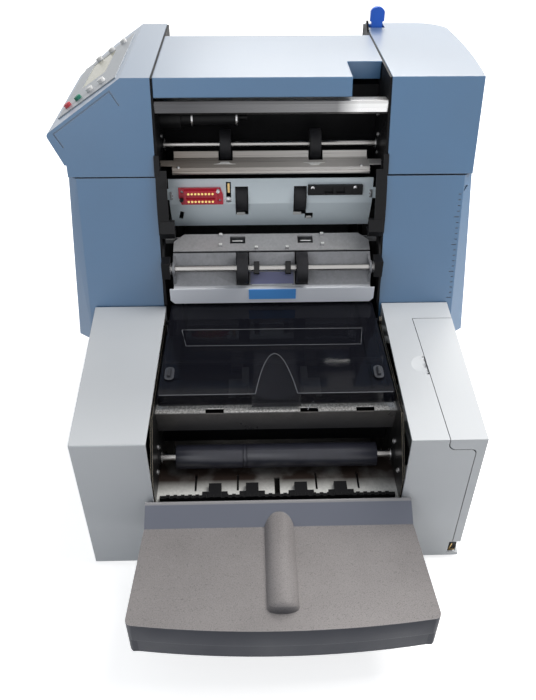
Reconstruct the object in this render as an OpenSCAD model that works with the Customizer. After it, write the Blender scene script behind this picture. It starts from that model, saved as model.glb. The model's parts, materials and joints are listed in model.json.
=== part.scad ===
// Desktop folder inserter: a white base with an envelope path and an exit tray,
// and a blue leaning tower that takes the sheet feeder on its dock rails.
// Millimetres. Z is up, the exit tray points to -Y, the console is on the -X side.

/* [Base] */
// Width over the two white side covers at the front
base_w = 420; // [404:1:440]
// Half width that each side cover gains from the front to the tower
base_flare = 12; // [4:1:18]
// Width that the bay gains at the right from the front to the tower
bay_skew = 5.5; // [0:0.5:7]
// Height of the white side covers
cover_h = 191; // [190:0.5:196]
// Height of the base under the tower
rear_h = 143; // [130:1:144]
// Wall of the moulded covers
wall = 2.5; // [2:0.1:3]
// Length of the body from the white front to the tower back
body_len = 547; // [540:1:570]
// Thickness of the steel bottom pan
pan_t = 3; // [2:0.5:5]
// Height of a rubber foot
foot_h = 5; // [4:0.5:10]
// Diameter of a rubber foot
foot_d = 28; // [18:1:36]
// Distance of the feet from the middle plane
foot_x = 172; // [150:1:180]
// Distance of the feet from each end of the body
foot_inset = 34; // [24:1:60]

/* [Side frames] */
// Clear width of the paper path between the side frames
path_w = 266; // [258:0.5:270]
// Thickness of a side frame
frame_t = 2.5; // [2:0.5:3.5]
// Distance of the side frames below the top of the white covers
frame_drop = 13; // [12.5:0.5:14]
// Diameter of the large standoffs that carry the white covers
standoff_d = 18; // [12:1:18]
// Diameter of the small standoffs near the tower
stud_d = 9; // [6:0.5:10]
// Thickness of the tabs that the standoffs meet
tab_t = 3; // [2:0.5:4]
// Reach of the standoffs past the inner edge of a cover
standoff_reach = 13; // [8:0.5:14]

/* [Exit section] */
// Height of the exit roller axis
exit_z = 107; // [105:0.5:112]
// Distance of the exit roller axis behind the white front
exit_y = 62; // [58:0.5:64]
// Diameter of the exit roller
exit_d = 27; // [22:1:32]
// Length of the rubber sleeve on the exit roller
exit_len = 226; // [190:1:234]
// Diameter of the exit shaft
exit_shaft_d = 8; // [6:0.5:10]
// Running clearance on the radius of every shaft
fit = 0.05; // [0.02:0.01:0.09]
// Thickness of the folded sheet metal
sheet_t = 1.5; // [1:0.1:2]
// Height of the lower exit guide
guide_z = 90; // [87:0.5:91]
// Width of a finger on the finger bar
finger_w = 14; // [8:1:18]

/* [Exit tray] */
// Reach of the tray in front of the white covers
tray_reach = 149; // [120:1:180]
// Width of the tray at its rear lip
tray_w = 282; // [260:1:300]
// Width of the tray at its front edge
tray_front_w = 294; // [284:1:320]
// Depth of the bow of the front edge
tray_bow = 10; // [4:1:16]
// Height of the rear lip
tray_lip_z = 110; // [104:1:114]
// Height of the fold behind the main plate
tray_fold_z = 92; // [88:1:96]
// Height of the main plate at the front edge
tray_front_z = 100; // [96:1:106]
// Height of the front skirt
tray_skirt = 46; // [38:1:50]
// Wall of the tray
tray_t = 3.5; // [3:0.1:5]
// Width of the half round ridge
ridge_w = 31; // [20:1:40]
// Height of the half round ridge
ridge_h = 12; // [8:0.5:14]
// Width of the two tongues that hold the tray
tongue_w = 14; // [8:1:20]
// Thickness of the tongues
tongue_t = 8; // [5:0.5:9]

/* [Smoked cover] */
// Distance of the front edge of the smoked cover behind the white front
smoke_front_y = 80; // [79:0.5:86]
// Distance of its front edge below the top of the white covers
smoke_drop = 6; // [5:0.5:8]
// Distance of its rear edge above the top of the white covers
smoke_rise = 5; // [4:0.5:6]
// Gap between the smoked cover and a white cover
smoke_gap = 3.5; // [2.5:0.5:6]
// Half width that the smoked cover loses from its front to its rear
smoke_taper = 4; // [0:0.5:6]
// Thickness of the smoked cover
smoke_t = 3; // [2:0.5:3.5]
// Height of the front lip
smoke_lip = 14; // [10:1:15]
// Width of the arched finger scoop at the front edge
arch_w = 46; // [36:1:52]
// Depth of the finger scoop at the front edge
arch_depth = 6; // [4:0.5:9]
// Length of the finger scoop
arch_len = 64; // [52:1:80]

/* [Envelope bay] */
// Distance of the envelope deck below the top of the white covers
deck_drop = 41; // [39:0.5:45]
// Thickness of the envelope deck
deck_t = 2; // [1.5:0.5:3]
// Radius of the envelope feed tyres
env_r = 13; // [9:0.5:14]
// Distance of the inner faces of the envelope guides at rest
guide_gap = 60; // [50:1:76]

/* [Tower] */
// Lean of the tower front from the vertical
lean_deg = 15.3; // [14:0.1:16]
// Distance of the tower front behind the white front, at the top of the white covers
tower_y = 243; // [242:0.5:246]
// Height of the tower above the bottom of the covers
tower_h = 449; // [448:0.5:470]
// Clear width between the two blue halves
tower_gap = 272; // [270:0.5:276]
// Largest width of the tower
tower_w = 494; // [480:1:510]
// Radius of the bulged tower sides
bulge_r = 1200; // [900:50:4000]
// Radius of the rear corners
corner_r = 45; // [25:1:60]
// Outward lean of the sides of the lower covers
flare_low = 4.6; // [0:0.1:6]
// Width of the facet along the front edge of the lower covers
facet_w = 18; // [8:1:26]
// Height of the lower edge of the blue covers
tower_low = 147; // [146:0.5:154]
// Radius of the lower outer corner
low_r = 9; // [6:1:24]
// Height of the seam between the lower and upper covers
seam_z = 344; // [340:0.5:352]
// Width of the seam
seam_gap = 1.5; // [0.8:0.1:2]
// Thickness of the tower frames
tower_frame_t = 2.5; // [2:0.1:3]

/* [Top cover] */
// Length of the top cover from front to back
top_len = 172; // [150:1:200]
// Height of the front flange of the top cover
top_flange = 21; // [16:1:23]
// Width of the notch in the top cover
notch_w = 42; // [24:1:60]
// Depth of the notch in the top cover
notch_d = 58; // [30:1:80]

/* [Console] */
// Width of the flat strip beside the console
console_flat = 33; // [26:1:40]
// Slope of the console face
console_deg = 33; // [28:0.5:36]
// Length of the console face down its slope
console_len = 107; // [96:1:112]
// Rear end of the console, measured from the white front
console_rear = 522; // [516:1:528]
// Radius of the console nose
nose_r = 4; // [2:0.5:10]
// Thickness of the console panel
panel_t = 1.2; // [0.8:0.1:2]
// Diameter of a button
key_d = 9; // [7:0.5:11]
// Height of a button above the console face
key_h = 6; // [4:0.5:9]
// Gap around a button
key_gap = 0.4; // [0.3:0.05:0.6]
// Length of the display along the machine
lcd_len = 95; // [70:1:104]
// Width of the display down the slope
lcd_w = 38; // [28:1:42]

/* [Paper path] */
// Diameter of the drive shafts in the tower
shaft_d = 8; // [6:0.5:9]
// Radius of the upper feed tyres
upper_r = 18; // [14:0.5:19]
// Width of a feed tyre
tyre_w = 13.5; // [10:0.5:16]
// Distance of the upper tyres from the middle plane
upper_x = 55; // [46:1:64]
// Distance of the middle and pinch tyres from the middle plane
tyre_x = 36; // [33:0.5:40]
// Radius of the middle feed tyres
middle_r = 18; // [16:0.5:18.5]
// Radius of the pinch tyres
pinch_r = 19; // [15:0.5:19]
// Width of the connector plate
plate_w = 250; // [240:1:252]
// Pins along one row of the docking connector
pin_count = 8; // [5:1:8]
// Distance between the pins
pin_pitch = 4.2; // [3.2:0.1:4.4]
// Teeth on the gear of each fold roller
gear_teeth = 20; // [16:2:24]
// Radius of a fold roller
fold_r = 15; // [12:0.5:16]
// Open nip between two fold rollers
fold_nip = 0.6; // [0.4:0.1:1]

/* [Controls] */
// Width of the release lever
lever_w = 19; // [14:0.5:22]
// Height of the release lever above the tower
lever_h = 25; // [20:1:34]
// Lowest height of the side door above the bottom of the cover
door_low = 24.5; // [24:0.5:30]
// Width of the side door at the front
door_w = 38; // [34:1:42]
// Rear end of the side door, measured from the white front
door_rear = 208; // [196:1:214]
// Gap around the side door
door_gap = 0.8; // [0.5:0.1:1.2]

/* [Hidden] */
$fn = 96;
eps = 0.01;
frame_in = path_w / 2;
frame_out = frame_in + frame_t;
bay_x = frame_in;
door_x = base_w / 2 - door_w;
frame_h = cover_h - frame_drop;
smoke_front_z = cover_h - smoke_drop;
smoke_rear_z = cover_h + smoke_rise;
deck_z = cover_h - deck_drop;
tower_in = tower_gap / 2;
tower_half = tower_w / 2;
tower_frame_in = tower_in - tower_frame_t;
front_y = -(body_len - tray_reach) / 2;
base_rear = body_len - 7;
lean = tan(lean_deg);
shaft_r = shaft_d / 2;
exit_shaft_r = exit_shaft_d / 2;

function front(z, off = 0) = tower_y + off + lean * (z - cover_h);
function dir(a, b) = (b - a) / norm(b - a);
function left(d) = [-d[1], d[0]];
function bisect(a, b) = (a + b) / (1 + a * b);

// A folded sheet of thickness t along the open line p, on the left of the line.
function sheet(p, t) = concat(p, [for (i = [len(p) - 1 : -1 : 0])
  p[i] + t * bisect(
    left(dir(p[max(i - 1, 0)], p[max(i, 1)])),
    left(dir(p[min(i, len(p) - 2)], p[min(i + 1, len(p) - 1)])))]);

// A closed outline p, counter-clockwise, moved inwards by g.
function inset(p, g) = [for (i = [0 : len(p) - 1])
  p[i] + g * bisect(
    left(dir(p[(i + len(p) - 1) % len(p)], p[i])),
    left(dir(p[i], p[(i + 1) % len(p)])))];

// The corner c between a and b, rounded with radius r.
function round_corner(a, c, b, r, n = 8) = let(
  u = dir(c, a),
  v = dir(c, b),
  half = acos(u * v) / 2,
  m = c + (u + v) / norm(u + v) * r / sin(half),
  p = c + u * r / tan(half) - m,
  q = c + v * r / tan(half) - m,
  a0 = atan2(p[1], p[0]),
  turn = atan2(q[1], q[0]) - a0,
  sweep = turn > 180 ? turn - 360 : turn < -180 ? turn + 360 : turn
) [for (i = [0 : n]) m + r * [cos(a0 + sweep * i / n), sin(a0 + sweep * i / n)]];

module seat() {
  translate([0, front_y, foot_h]) children();
}

// A side view (y, z) drawn out along X from x0 to x1.
module across(x0, x1) {
  translate([x0, 0, 0]) rotate([90, 0, 90]) linear_extrude(x1 - x0) children();
}

// A front view (x, z) drawn out along Y from y0 to y1.
module along(y0, y1) {
  translate([0, y1, 0]) rotate([90, 0, 0]) linear_extrude(y1 - y0) children();
}

// A round bar along X at (y, z).
module bar(x0, x1, p, r) {
  translate([x0, p[0], p[1]]) rotate([0, 90, 0]) cylinder(r = r, h = x1 - x0);
}

module both() {
  children();
  mirror([1, 0, 0]) children();
}

// A box with its lower corner at a and its upper corner at b.
module block(a, b) {
  translate(a) cube(b - a);
}

// Base pan and feet

apron_y = 2;
apron_t = 3;
apron_h = guide_z - 5;
pan_x = base_w / 2 - 5;
vent_d = 9;
vent_step = [40, 30];
vent_y = body_len - 247;
tongue_x = 92;
tongue_z = 70;
tongue_fit = 0.4;

module base_pan() {
  color([0.55, 0.56, 0.58]) seat() difference() {
    union() {
      block([-pan_x, 4, 0], [pan_x, base_rear - 4, pan_t]);
      block([-bay_x + 1, apron_y, 0], [bay_x - 1, apron_y + apron_t, apron_h]);
    }
    both() block(
      [tongue_x - tongue_w / 2 - tongue_fit, apron_y - 1, tongue_z - tongue_fit],
      [tongue_x + tongue_w / 2 + tongue_fit, apron_y + apron_t + 1, tongue_z + tongue_t + tongue_fit]);
    for (i = [-3 : 3], k = [0 : 6])
      translate([i * vent_step[0], vent_y + k * vent_step[1], -1]) cylinder(d = vent_d, h = pan_t + 2);
  }
}

module rubber_feet() {
  color([0.08, 0.08, 0.08]) seat() both()
    for (y = [foot_inset, body_len - foot_inset])
      translate([foot_x, y, -foot_h]) cylinder(d = foot_d, h = foot_h);
}

// Side frames

transfer = [95, cover_h - 35];
env_axis = [160, cover_h - 26];
smoke_pivot = [tower_y - 25, cover_h - 9];
smoke_pin_r = 2.5;
smoke_boss_r = 5;
exit_axis = [exit_y, exit_z];
transfer_r = 3;
frame_front = 8;
cover_slack = 1.5;
frame_rear = front(rear_h, -cover_slack - wall) - 1;
frame_knee = [54, 122];
// Each standoff: y, z, diameter.
standoffs = [
  [66, frame_h - 12, standoff_d], [frame_rear - 32, frame_h - 8, stud_d],
  [frame_rear - 9, frame_h - 8, stud_d]];
front_standoff = [22, frame_knee[1] - 4, standoff_d];
frame_hole_r = 5;
frame_holes = [[24, 60], [60, 40], [110, 60], [150, 110], [118, 120]];
frame_slot = [6, 22];
frame_slots = [[36, 44], [130, 78], [190, 78]];

module side_frame() {
  x0 = frame_in - 1;
  x1 = frame_out + 1;
  difference() {
    union() {
      across(frame_in, frame_out) union() {
        polygon([
          [frame_front, pan_t], [frame_rear, pan_t], [frame_rear, frame_h],
          [frame_knee[0], frame_h], [frame_front, frame_knee[1]]]);
        translate(smoke_pivot) circle(smoke_boss_r);
        translate([smoke_pivot[0] - smoke_boss_r, frame_h - 1])
          square([2 * smoke_boss_r, smoke_pivot[1] - frame_h + 1]);
      }
      for (s = concat(standoffs, [front_standoff]))
        bar(frame_out - eps, bay_x + standoff_reach, [s[0], s[1]], s[2] / 2);
    }
    bar(x0, x1, exit_axis, exit_shaft_r + fit);
    bar(x0, x1, transfer, transfer_r + fit);
    bar(x0, x1, env_axis, transfer_r + fit);
    bar(x0, x1, smoke_pivot, smoke_pin_r + fit);
    for (p = frame_holes) bar(x0, x1, p, frame_hole_r);
    for (p = frame_slots) across(x0, x1) translate(p) {
      square(frame_slot);
      for (z = [0, frame_slot[1]]) translate([frame_slot[0] / 2, z]) circle(d = frame_slot[0]);
    }
  }
}

module left_side_frame() {
  color([0.62, 0.63, 0.65]) seat() mirror([1, 0, 0]) side_frame();
}

module right_side_frame() {
  color([0.62, 0.63, 0.65]) seat() side_frame();
}

// White base covers and the side door

notch_x = door_x + 25;
notch_z = 5;
notch_len = 13;
hinge_r = 4;
hinge_pin_r = 1.6;
hinge_z = door_low - hinge_r - 0.5;
flare_deg = atan(base_flare / tower_y);
hinge_x = base_w / 2 - hinge_r / cos(flare_deg);
knuckle = 24;
knuckle_count = 7;
knuckle_start = 16;
knuckle_gap = 0.5;
strip_top = hinge_z - hinge_r - 0.5;
scoop_r = 17;
scoop_depth = 1.8;
scoop_ball = 90;
scoop_y = 118;
tab_margin = 2;

module cover_plan(g, skew) {
  polygon([
    [bay_x - g, g], [base_w / 2 - g, g], [base_w / 2 + base_flare - g, tower_y],
    [base_w / 2 + base_flare - g, base_rear - g], [tower_in + 0.5 - g, base_rear - g],
    [tower_in + 0.5 - g, tower_y], [bay_x + skew - g, tower_y]]);
}

module cover_side(g) {
  polygon([
    [g, -g], [base_rear - g, -g], [base_rear - g, rear_h - g],
    [front(rear_h, -cover_slack - g), rear_h - g],
    [front(cover_h - g, -cover_slack - g), cover_h - g], [g, cover_h - g]]);
}

module cover_block(g, skew = 0) {
  intersection() {
    translate([0, 0, -g]) linear_extrude(cover_h + g) cover_plan(g, skew);
    across(0, base_w) cover_side(g);
  }
}

tab_x = bay_x + standoff_reach;

module base_shell(skew = 0) {
  difference() {
    cover_block(0, skew);
    cover_block(wall, skew);
  }
  for (s = standoffs) let(m = s[2] / 2 + tab_margin)
    block([tab_x, s[0] - m, s[1] - m], [tab_x + tab_t, s[0] + m, cover_h - wall + eps]);
  let(s = front_standoff, m = s[2] / 2 + tab_margin)
    block([tab_x, wall - eps, s[1] - m], [tab_x + tab_t, s[0] + m, s[1] + m]);
}

// Front view of the side door, grown by g.
door_step = [28, 14];
door_r = 8;
door_low_r = 6;

module door_view(g) {
  far = base_w;
  step_x = door_x + door_step[0] + 1;
  step_z = cover_h - door_step[1];
  translate([door_x - g, step_z + door_r - g]) square([far, far]);
  translate([door_x + door_r - g, step_z - g]) square([far, far]);
  translate([door_x + door_r - g, step_z + door_r - g]) circle(door_r);
  translate([step_x - g, door_low - g]) square([far, far]);
  translate([step_x - door_low_r - g, step_z - door_low_r - g]) difference() {
    square(door_low_r);
    circle(door_low_r);
  }
}

module on_hinge() {
  translate([hinge_x, 0, hinge_z]) rotate([0, 0, -flare_deg]) children();
}

module knuckles(first, up) {
  for (i = [first : 2 : knuckle_count - 1]) translate([0, knuckle_start + i * knuckle, 0]) {
    rotate([-90, 0, 0]) cylinder(r = hinge_r, h = knuckle - knuckle_gap);
    translate([hinge_r - wall, 0, up > 0 ? 0 : -hinge_r - 1])
      cube([wall, knuckle - knuckle_gap, hinge_r + 1]);
  }
}

module left_base_cover() {
  color([0.80, 0.81, 0.82]) seat() mirror([1, 0, 0]) base_shell();
}

module right_base_cover() {
  color([0.80, 0.81, 0.82]) seat() {
    difference() {
      union() {
        base_shell(bay_skew);
        translate([door_x, scoop_y, cover_h - 2 * wall]) cylinder(r = scoop_r + wall, h = wall + eps);
      }
      along(-1, door_rear) door_view(door_gap);
      block([notch_x + 10, wall + eps, strip_top], [base_w, door_rear, cover_h]);
      block([notch_x, -1, notch_z], [base_w, notch_len, door_low]);
      translate([door_x, scoop_y, cover_h - scoop_depth + scoop_ball]) sphere(scoop_ball);
    }
    on_hinge() {
      knuckles(0, -1);
      translate([0, knuckle_start, 0]) rotate([-90, 0, 0])
        cylinder(r = hinge_pin_r, h = knuckle * knuckle_count - knuckle_gap);
    }
  }
}

module side_door() {
  color([0.84, 0.85, 0.85]) seat() {
    intersection() {
      difference() {
        cover_block(0);
        cover_block(wall);
      }
      along(-1, door_rear - door_gap) door_view(0);
    }
    on_hinge() difference() {
      knuckles(1, 1);
      rotate([-90, 0, 0]) cylinder(r = hinge_pin_r + fit, h = knuckle * (knuckle_count + 1));
    }
  }
}

tank_lo = [tab_x + tab_t + 1, 44, pan_t];
tank_hi = [base_w / 2 - 16, 168, 118];
tank_cap_r = 13;
tank_cap_h = 10;
tank_wall = 2;

module fluid_tank() {
  color([0.86, 0.88, 0.86, 0.7]) seat() difference() {
    union() {
      block(tank_lo, tank_hi);
      translate([(tank_lo[0] + tank_hi[0]) / 2, tank_hi[1] - tank_cap_r - 9, tank_hi[2] - eps])
        cylinder(r = tank_cap_r, h = tank_cap_h);
    }
    block(tank_lo + [tank_wall, tank_wall, tank_wall], tank_hi - [tank_wall, tank_wall, tank_wall]);
  }
}

// Exit tray

tray_rear_y = -5;
tray_fold_y = -26;
tray_edge_y = -tray_reach;
tray_slope = (tray_front_z - tray_fold_z) / (tray_fold_y - tray_edge_y - tray_bow);
tray_bow_r = (pow(tray_front_w / 2, 2) + pow(tray_bow, 2)) / (2 * tray_bow);
tray_skirt_z = tray_front_z - tray_skirt;
tray_rear_z = 66;
ridge_r = (pow(ridge_w / 2, 2) + pow(ridge_h, 2)) / (2 * ridge_h);
ridge_front_y = tray_edge_y + 23;
ridge_rear_y = -15;
band_z = tray_front_z - 25;
band_depth = 1.2;

tray_corner = [tray_front_w / 2, tray_edge_y + tray_bow];
tray_corner_r = 7;
bow_deg = asin(tray_front_w / 2 / tray_bow_r);

// The rounded front corner, from the side to the bowed front edge.
tray_arc = round_corner([tray_w / 2, tray_rear_y], tray_corner,
  tray_corner - [cos(bow_deg), sin(bow_deg)], tray_corner_r);
tray_arc_end = len(tray_arc) - 1;
tray_arc_step = tray_arc[tray_arc_end] - tray_arc[tray_arc_end - 1];
tray_tip = tray_arc[tray_arc_end]
  + tray_arc_step * (tray_edge_y - 3 - tray_arc[tray_arc_end][1]) / tray_arc_step[1];

// Right half of the plan outline, open at the front, where the bow closes it.
tray_half = concat(
  [tray_tip], [for (i = [tray_arc_end - 1 : -1 : 0]) tray_arc[i]], [[tray_w / 2, tray_rear_y]]);
tray_outline = concat(
  tray_half, [for (i = [len(tray_half) - 1 : -1 : 0]) [-tray_half[i][0], tray_half[i][1]]]);

module tray_plan(g) {
  intersection() {
    polygon(inset(tray_outline, g));
    translate([0, tray_edge_y + tray_bow_r]) circle(tray_bow_r - g);
  }
}

// Side view of the tray: the top line, and a straight lower edge when skirt is true.
module tray_side(drop, skirt) {
  polygon([
    [tray_rear_y + 1, tray_lip_z - drop], [tray_rear_y - 2, tray_lip_z - drop],
    [tray_fold_y, tray_fold_z - drop],
    [tray_edge_y - 2, tray_front_z + tray_slope * (tray_bow + 2) - drop],
    [tray_edge_y - 2, skirt ? tray_skirt_z : 0],
    [tray_edge_y + 40, skirt ? tray_skirt_z : 0],
    [tray_rear_y + 1, skirt ? tray_rear_z : 0]]);
}

module tray_block(drop, g, skirt) {
  intersection() {
    linear_extrude(tray_lip_z + 1) tray_plan(g);
    across(-tray_front_w, tray_front_w) tray_side(drop, skirt);
  }
}

module exit_tray() {
  color([0.42, 0.41, 0.42]) seat() {
    difference() {
      union() {
        tray_block(0, 0, true);
        intersection() {
          translate([0, tray_fold_y, tray_fold_z]) rotate([90 - atan(tray_slope), 0, 0])
            translate([0, ridge_h - ridge_r, -60]) cylinder(r = ridge_r, h = tray_reach + 60);
          across(-ridge_w, ridge_w) polygon([
            [ridge_rear_y, tray_fold_z - 4], [ridge_rear_y, tray_lip_z + 20],
            [ridge_front_y + 4, tray_lip_z + 20], [ridge_front_y, tray_fold_z - 4]]);
        }
      }
      tray_block(tray_t, tray_t, false);
      difference() {
        translate([0, 0, tray_skirt_z - 1]) linear_extrude(band_z - tray_skirt_z + 1)
          translate([-tray_front_w, tray_edge_y - 1]) square([2 * tray_front_w, tray_bow + 1]);
        linear_extrude(tray_lip_z) tray_plan(band_depth);
      }
    }
    both() block(
      [tongue_x - tongue_w / 2, tray_rear_y - tray_t - 12, tongue_z],
      [tongue_x + tongue_w / 2, 62, tongue_z + tongue_t]);
  }
}

// Exit section

module exit_shaft() {
  color([0.75, 0.76, 0.78]) seat() bar(-frame_out - 4, frame_out + 4, exit_axis, exit_shaft_r);
}

sleeve_marks = [-38, -34];
sleeve_groove = 0.8;

module exit_sleeve() {
  color([0.10, 0.10, 0.11]) seat() difference() {
    bar(-exit_len / 2, exit_len / 2, exit_axis, exit_d / 2);
    bar(-exit_len / 2 - 1, exit_len / 2 + 1, exit_axis, exit_shaft_r);
    for (x = sleeve_marks) translate([x, 0, 0]) difference() {
      bar(0, sleeve_groove, exit_axis, exit_d);
      bar(-1, sleeve_groove + 1, exit_axis, exit_d / 2 - sleeve_groove / 2);
    }
  }
}

exit_guide_z = frame_h - 12;
exit_guide_line = [
  [exit_y + 24, exit_guide_z], [exit_y + 10, exit_guide_z], [exit_y + 12, exit_guide_z - 8],
  [exit_y + 18, exit_guide_z - 35]];
exit_notch = 20;

module exit_guide() {
  color([0.60, 0.58, 0.53]) seat() difference() {
    across(-frame_in, frame_in) polygon(sheet(exit_guide_line, sheet_t));
    for (x = [-78, 26, 88])
      block([x, exit_y + 8, exit_guide_z - 3], [x + exit_notch, exit_y + 16, exit_guide_z + 4]);
  }
}

guide_front = 12;
guide_rear = exit_y + 16;
guide_t = 2;
slit_w = 2.4;
slit_y = [26, 50];
gate_w = 6;
gate_y = [17, 44];

module lower_guide() {
  color([0.78, 0.77, 0.74]) seat() difference() {
    block([-frame_in, guide_front, guide_z - guide_t], [frame_in, guide_rear, guide_z]);
    for (x = [-91, -44, 44, 91])
      block([x - slit_w / 2, slit_y[0], guide_z - guide_t - 1], [x + slit_w / 2, slit_y[1], guide_z + 1]);
    block([-gate_w / 2, gate_y[0], guide_z - guide_t - 1], [gate_w / 2, gate_y[1], guide_z + 1]);
  }
}

finger_x = [-69, -28, 26, 70];
finger_h = 6;
finger_len = 20;
finger_foot = 9;
comb_t = 4;
comb_h = 5;
comb_step = 8;
comb_tooth = 1.5;
comb_half = floor((frame_in - 2 * comb_t) / comb_step);

module finger_bar() {
  color([0.09, 0.09, 0.10]) seat() translate([0, guide_front, guide_z]) {
    block([-frame_in + comb_t, 0, 0], [frame_in - comb_t, comb_t, comb_h]);
    for (i = [-comb_half : comb_half])
      block([i * comb_step - 2, 0, comb_h - eps], [i * comb_step + 2, comb_t, comb_h + comb_tooth]);
    for (x = finger_x) {
      block([x - finger_w / 2, 0, 0], [x + finger_w / 2, finger_len, finger_h]);
      block([x - finger_w, 0, 0], [x + finger_w, finger_foot, finger_h - 1]);
    }
  }
}

transfer_tyre_r = 10.5;
transfer_tyre_w = 18;

module transfer_shaft() {
  color([0.12, 0.12, 0.13]) seat() {
    bar(-frame_out - 2, frame_out + 2, transfer, transfer_r);
    for (x = [-92, -36, 36, 92])
      bar(x - transfer_tyre_w / 2, x + transfer_tyre_w / 2, transfer, transfer_tyre_r);
  }
}

// Envelope bay

deck_front = 110;
deck_rear = tower_y - 11;
slot_y = deck_front + 14;
slot_w = 4;
slot_fit = 0.3;
guide_travel = 58;
guide_foot = 24;
guide_stem = [4, 18];
guide_lip = 8;
guide_wall = 2.4;
guide_len = [deck_front + 2, deck_front + 34];
guide_rise = 20;

module envelope_deck() {
  x0 = guide_gap / 2 + guide_stem[0] - 1;
  x1 = guide_gap / 2 + guide_stem[1] + 1 + guide_travel;
  color([0.16, 0.16, 0.17]) seat() difference() {
    across(-frame_in, frame_in) polygon(sheet(
      [[deck_front, guide_z - 4], [deck_front, deck_z - deck_t], [deck_rear, deck_z - deck_t]], deck_t));
    both() block([x0, slot_y, deck_z - deck_t - 1], [x1, slot_y + slot_w, deck_z + 1]);
  }
}

module envelope_guide() {
  translate([guide_gap / 2, 0, deck_z]) {
    block([0, guide_len[0], 0], [guide_foot, guide_len[1], deck_t]);
    block([0, guide_len[0], 0], [guide_wall, guide_len[1], guide_rise]);
    block([0, guide_len[0], guide_rise - deck_t], [guide_lip, guide_len[1], guide_rise]);
    block([guide_stem[0], slot_y + slot_fit, -deck_t - 1],
      [guide_stem[1], slot_y + slot_w - slot_fit, eps]);
  }
}

module left_envelope_guide() {
  color([0.80, 0.82, 0.83]) seat() mirror([1, 0, 0]) envelope_guide();
}

module right_envelope_guide() {
  color([0.80, 0.82, 0.83]) seat() envelope_guide();
}

env_x = 44;
env_w = 14;

module envelope_shaft() {
  color([0.35, 0.35, 0.36]) seat() {
    bar(-frame_out - 2, frame_out + 2, env_axis, transfer_r);
    for (x = [-env_x, env_x]) bar(x - env_w / 2, x + env_w / 2, env_axis, env_r);
  }
}

// Smoked cover

smoke_half = bay_x - smoke_gap;
smoke_rear_y = tower_y - 7;
smoke_slope = (smoke_rear_z - smoke_front_z) / (smoke_rear_y - smoke_front_y);
smoke_ear_x = smoke_half - smoke_taper - 1;
smoke_ear = 4;
smoke_tab_w = 54;
smoke_rib = 1.4;
smoke_rib_x = smoke_half - 24;
latch_lo = [102, smoke_front_y + 24];
latch_hi = [116, smoke_front_y + 52];
arch_r = (pow(arch_w / 2, 2) + pow(arch_depth, 2)) / (2 * arch_depth);
arch_nose = 3;

function smoke_z(y) = smoke_front_z + smoke_slope * (y - smoke_front_y);

// Side view of a strip on the sloping top between two heights above it.
function smoke_strip(y0, y1, lo, hi) = [
  [y0, smoke_z(y0) + lo], [y1, smoke_z(y1) + lo], [y1, smoke_z(y1) + hi], [y0, smoke_z(y0) + hi]];

// A tube that dips into the sloping top at the front edge and leaves it at the end of the scoop.
module arch_tube(r, ahead) {
  translate([0, smoke_front_y, smoke_front_z]) rotate([atan(smoke_slope), 0, 0])
    translate([0, 0, arch_r - arch_depth]) rotate([atan(arch_depth / arch_len) - 90, 0, 0])
      translate([0, 0, -ahead]) cylinder(r = r, h = arch_len * 1.5 + ahead);
}

module smoked_cover() {
  color([0.07, 0.08, 0.10, 0.75]) seat() difference() {
    union() {
      intersection() {
        across(-smoke_half, smoke_half) polygon(smoke_strip(smoke_front_y, smoke_rear_y, -smoke_t, 0));
        linear_extrude(2 * cover_h) polygon([
          [-smoke_half, smoke_front_y - 1], [smoke_half, smoke_front_y - 1],
          [smoke_half - smoke_taper, smoke_rear_y + 1], [-smoke_half + smoke_taper, smoke_rear_y + 1]]);
      }
      across(-smoke_half, smoke_half) polygon([
        [smoke_front_y - 2, smoke_front_z - smoke_lip], [smoke_front_y + 1, smoke_front_z - smoke_lip],
        [smoke_front_y + 3, smoke_front_z], [smoke_front_y, smoke_front_z]]);
      across(-smoke_tab_w / 2, smoke_tab_w / 2) polygon([
        [smoke_front_y - 5, smoke_front_z - smoke_lip - 1], [smoke_front_y, smoke_front_z - smoke_lip],
        [smoke_front_y + 2, smoke_front_z], [smoke_front_y - 1, smoke_front_z]]);
      both() across(smoke_ear_x - smoke_ear, smoke_ear_x) polygon([
        [smoke_front_y, smoke_front_z - 8], [smoke_pivot[0] - 68, smoke_z(smoke_pivot[0] - 68) - 7],
        smoke_pivot + [-7, -5], smoke_pivot + [2, -5],
        [smoke_pivot[0] + 7, smoke_z(smoke_pivot[0] + 7) - 1], [smoke_front_y, smoke_front_z - 1]]);
      both() bar(smoke_ear_x - eps, frame_out, smoke_pivot, smoke_pin_r);
      both() across(smoke_rib_x, smoke_rib_x + smoke_rib)
        polygon(smoke_strip(smoke_front_y + 6, smoke_rear_y - 4, -1, smoke_rib));
      both() across(latch_lo[0] + 6, latch_hi[0] + 6)
        polygon(smoke_strip(latch_lo[1], latch_hi[1], -1, smoke_rib));
      intersection() {
        arch_tube(arch_r + smoke_t, arch_nose);
        across(-arch_w, arch_w)
          polygon(smoke_strip(smoke_front_y - 2 * arch_nose, smoke_rear_y - 20, -2 * arch_depth, -1));
      }
    }
    arch_tube(arch_r, 3 * arch_nose);
  }
}

// Tower frames

upper_z = 358;
middle_z = 303;
pinch_z = 244;
upper_axis = [front(upper_z, 59), upper_z];
middle_axis = [front(middle_z, 44), middle_z];
pinch_axis = [front(pinch_z, -14.5), pinch_z];
fold_z = 262;
fold_y = front(upper_z, 122);
fold_pitch = 2 * fold_r + fold_nip;
fold_axes = [for (i = [0 : 2]) [fold_y, fold_z + i * fold_pitch]];
lever_y = body_len - 19;
lever_pivot = [lever_y, tower_h - 20];
lever_pin_r = 3;
lever_x = tower_in + 3.5;
lever_gap = 1;
frame_foot_z = rear_h + 4;
frame_window_r = 22;
frame_window_y = body_len - 127;
frame_screw_r = 3;
frame_screws = [for (p = [[392, 24], [380, 30], [326, 12]]) [front(p[0], p[1]), p[0]]];
stop_h = 9;

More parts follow.
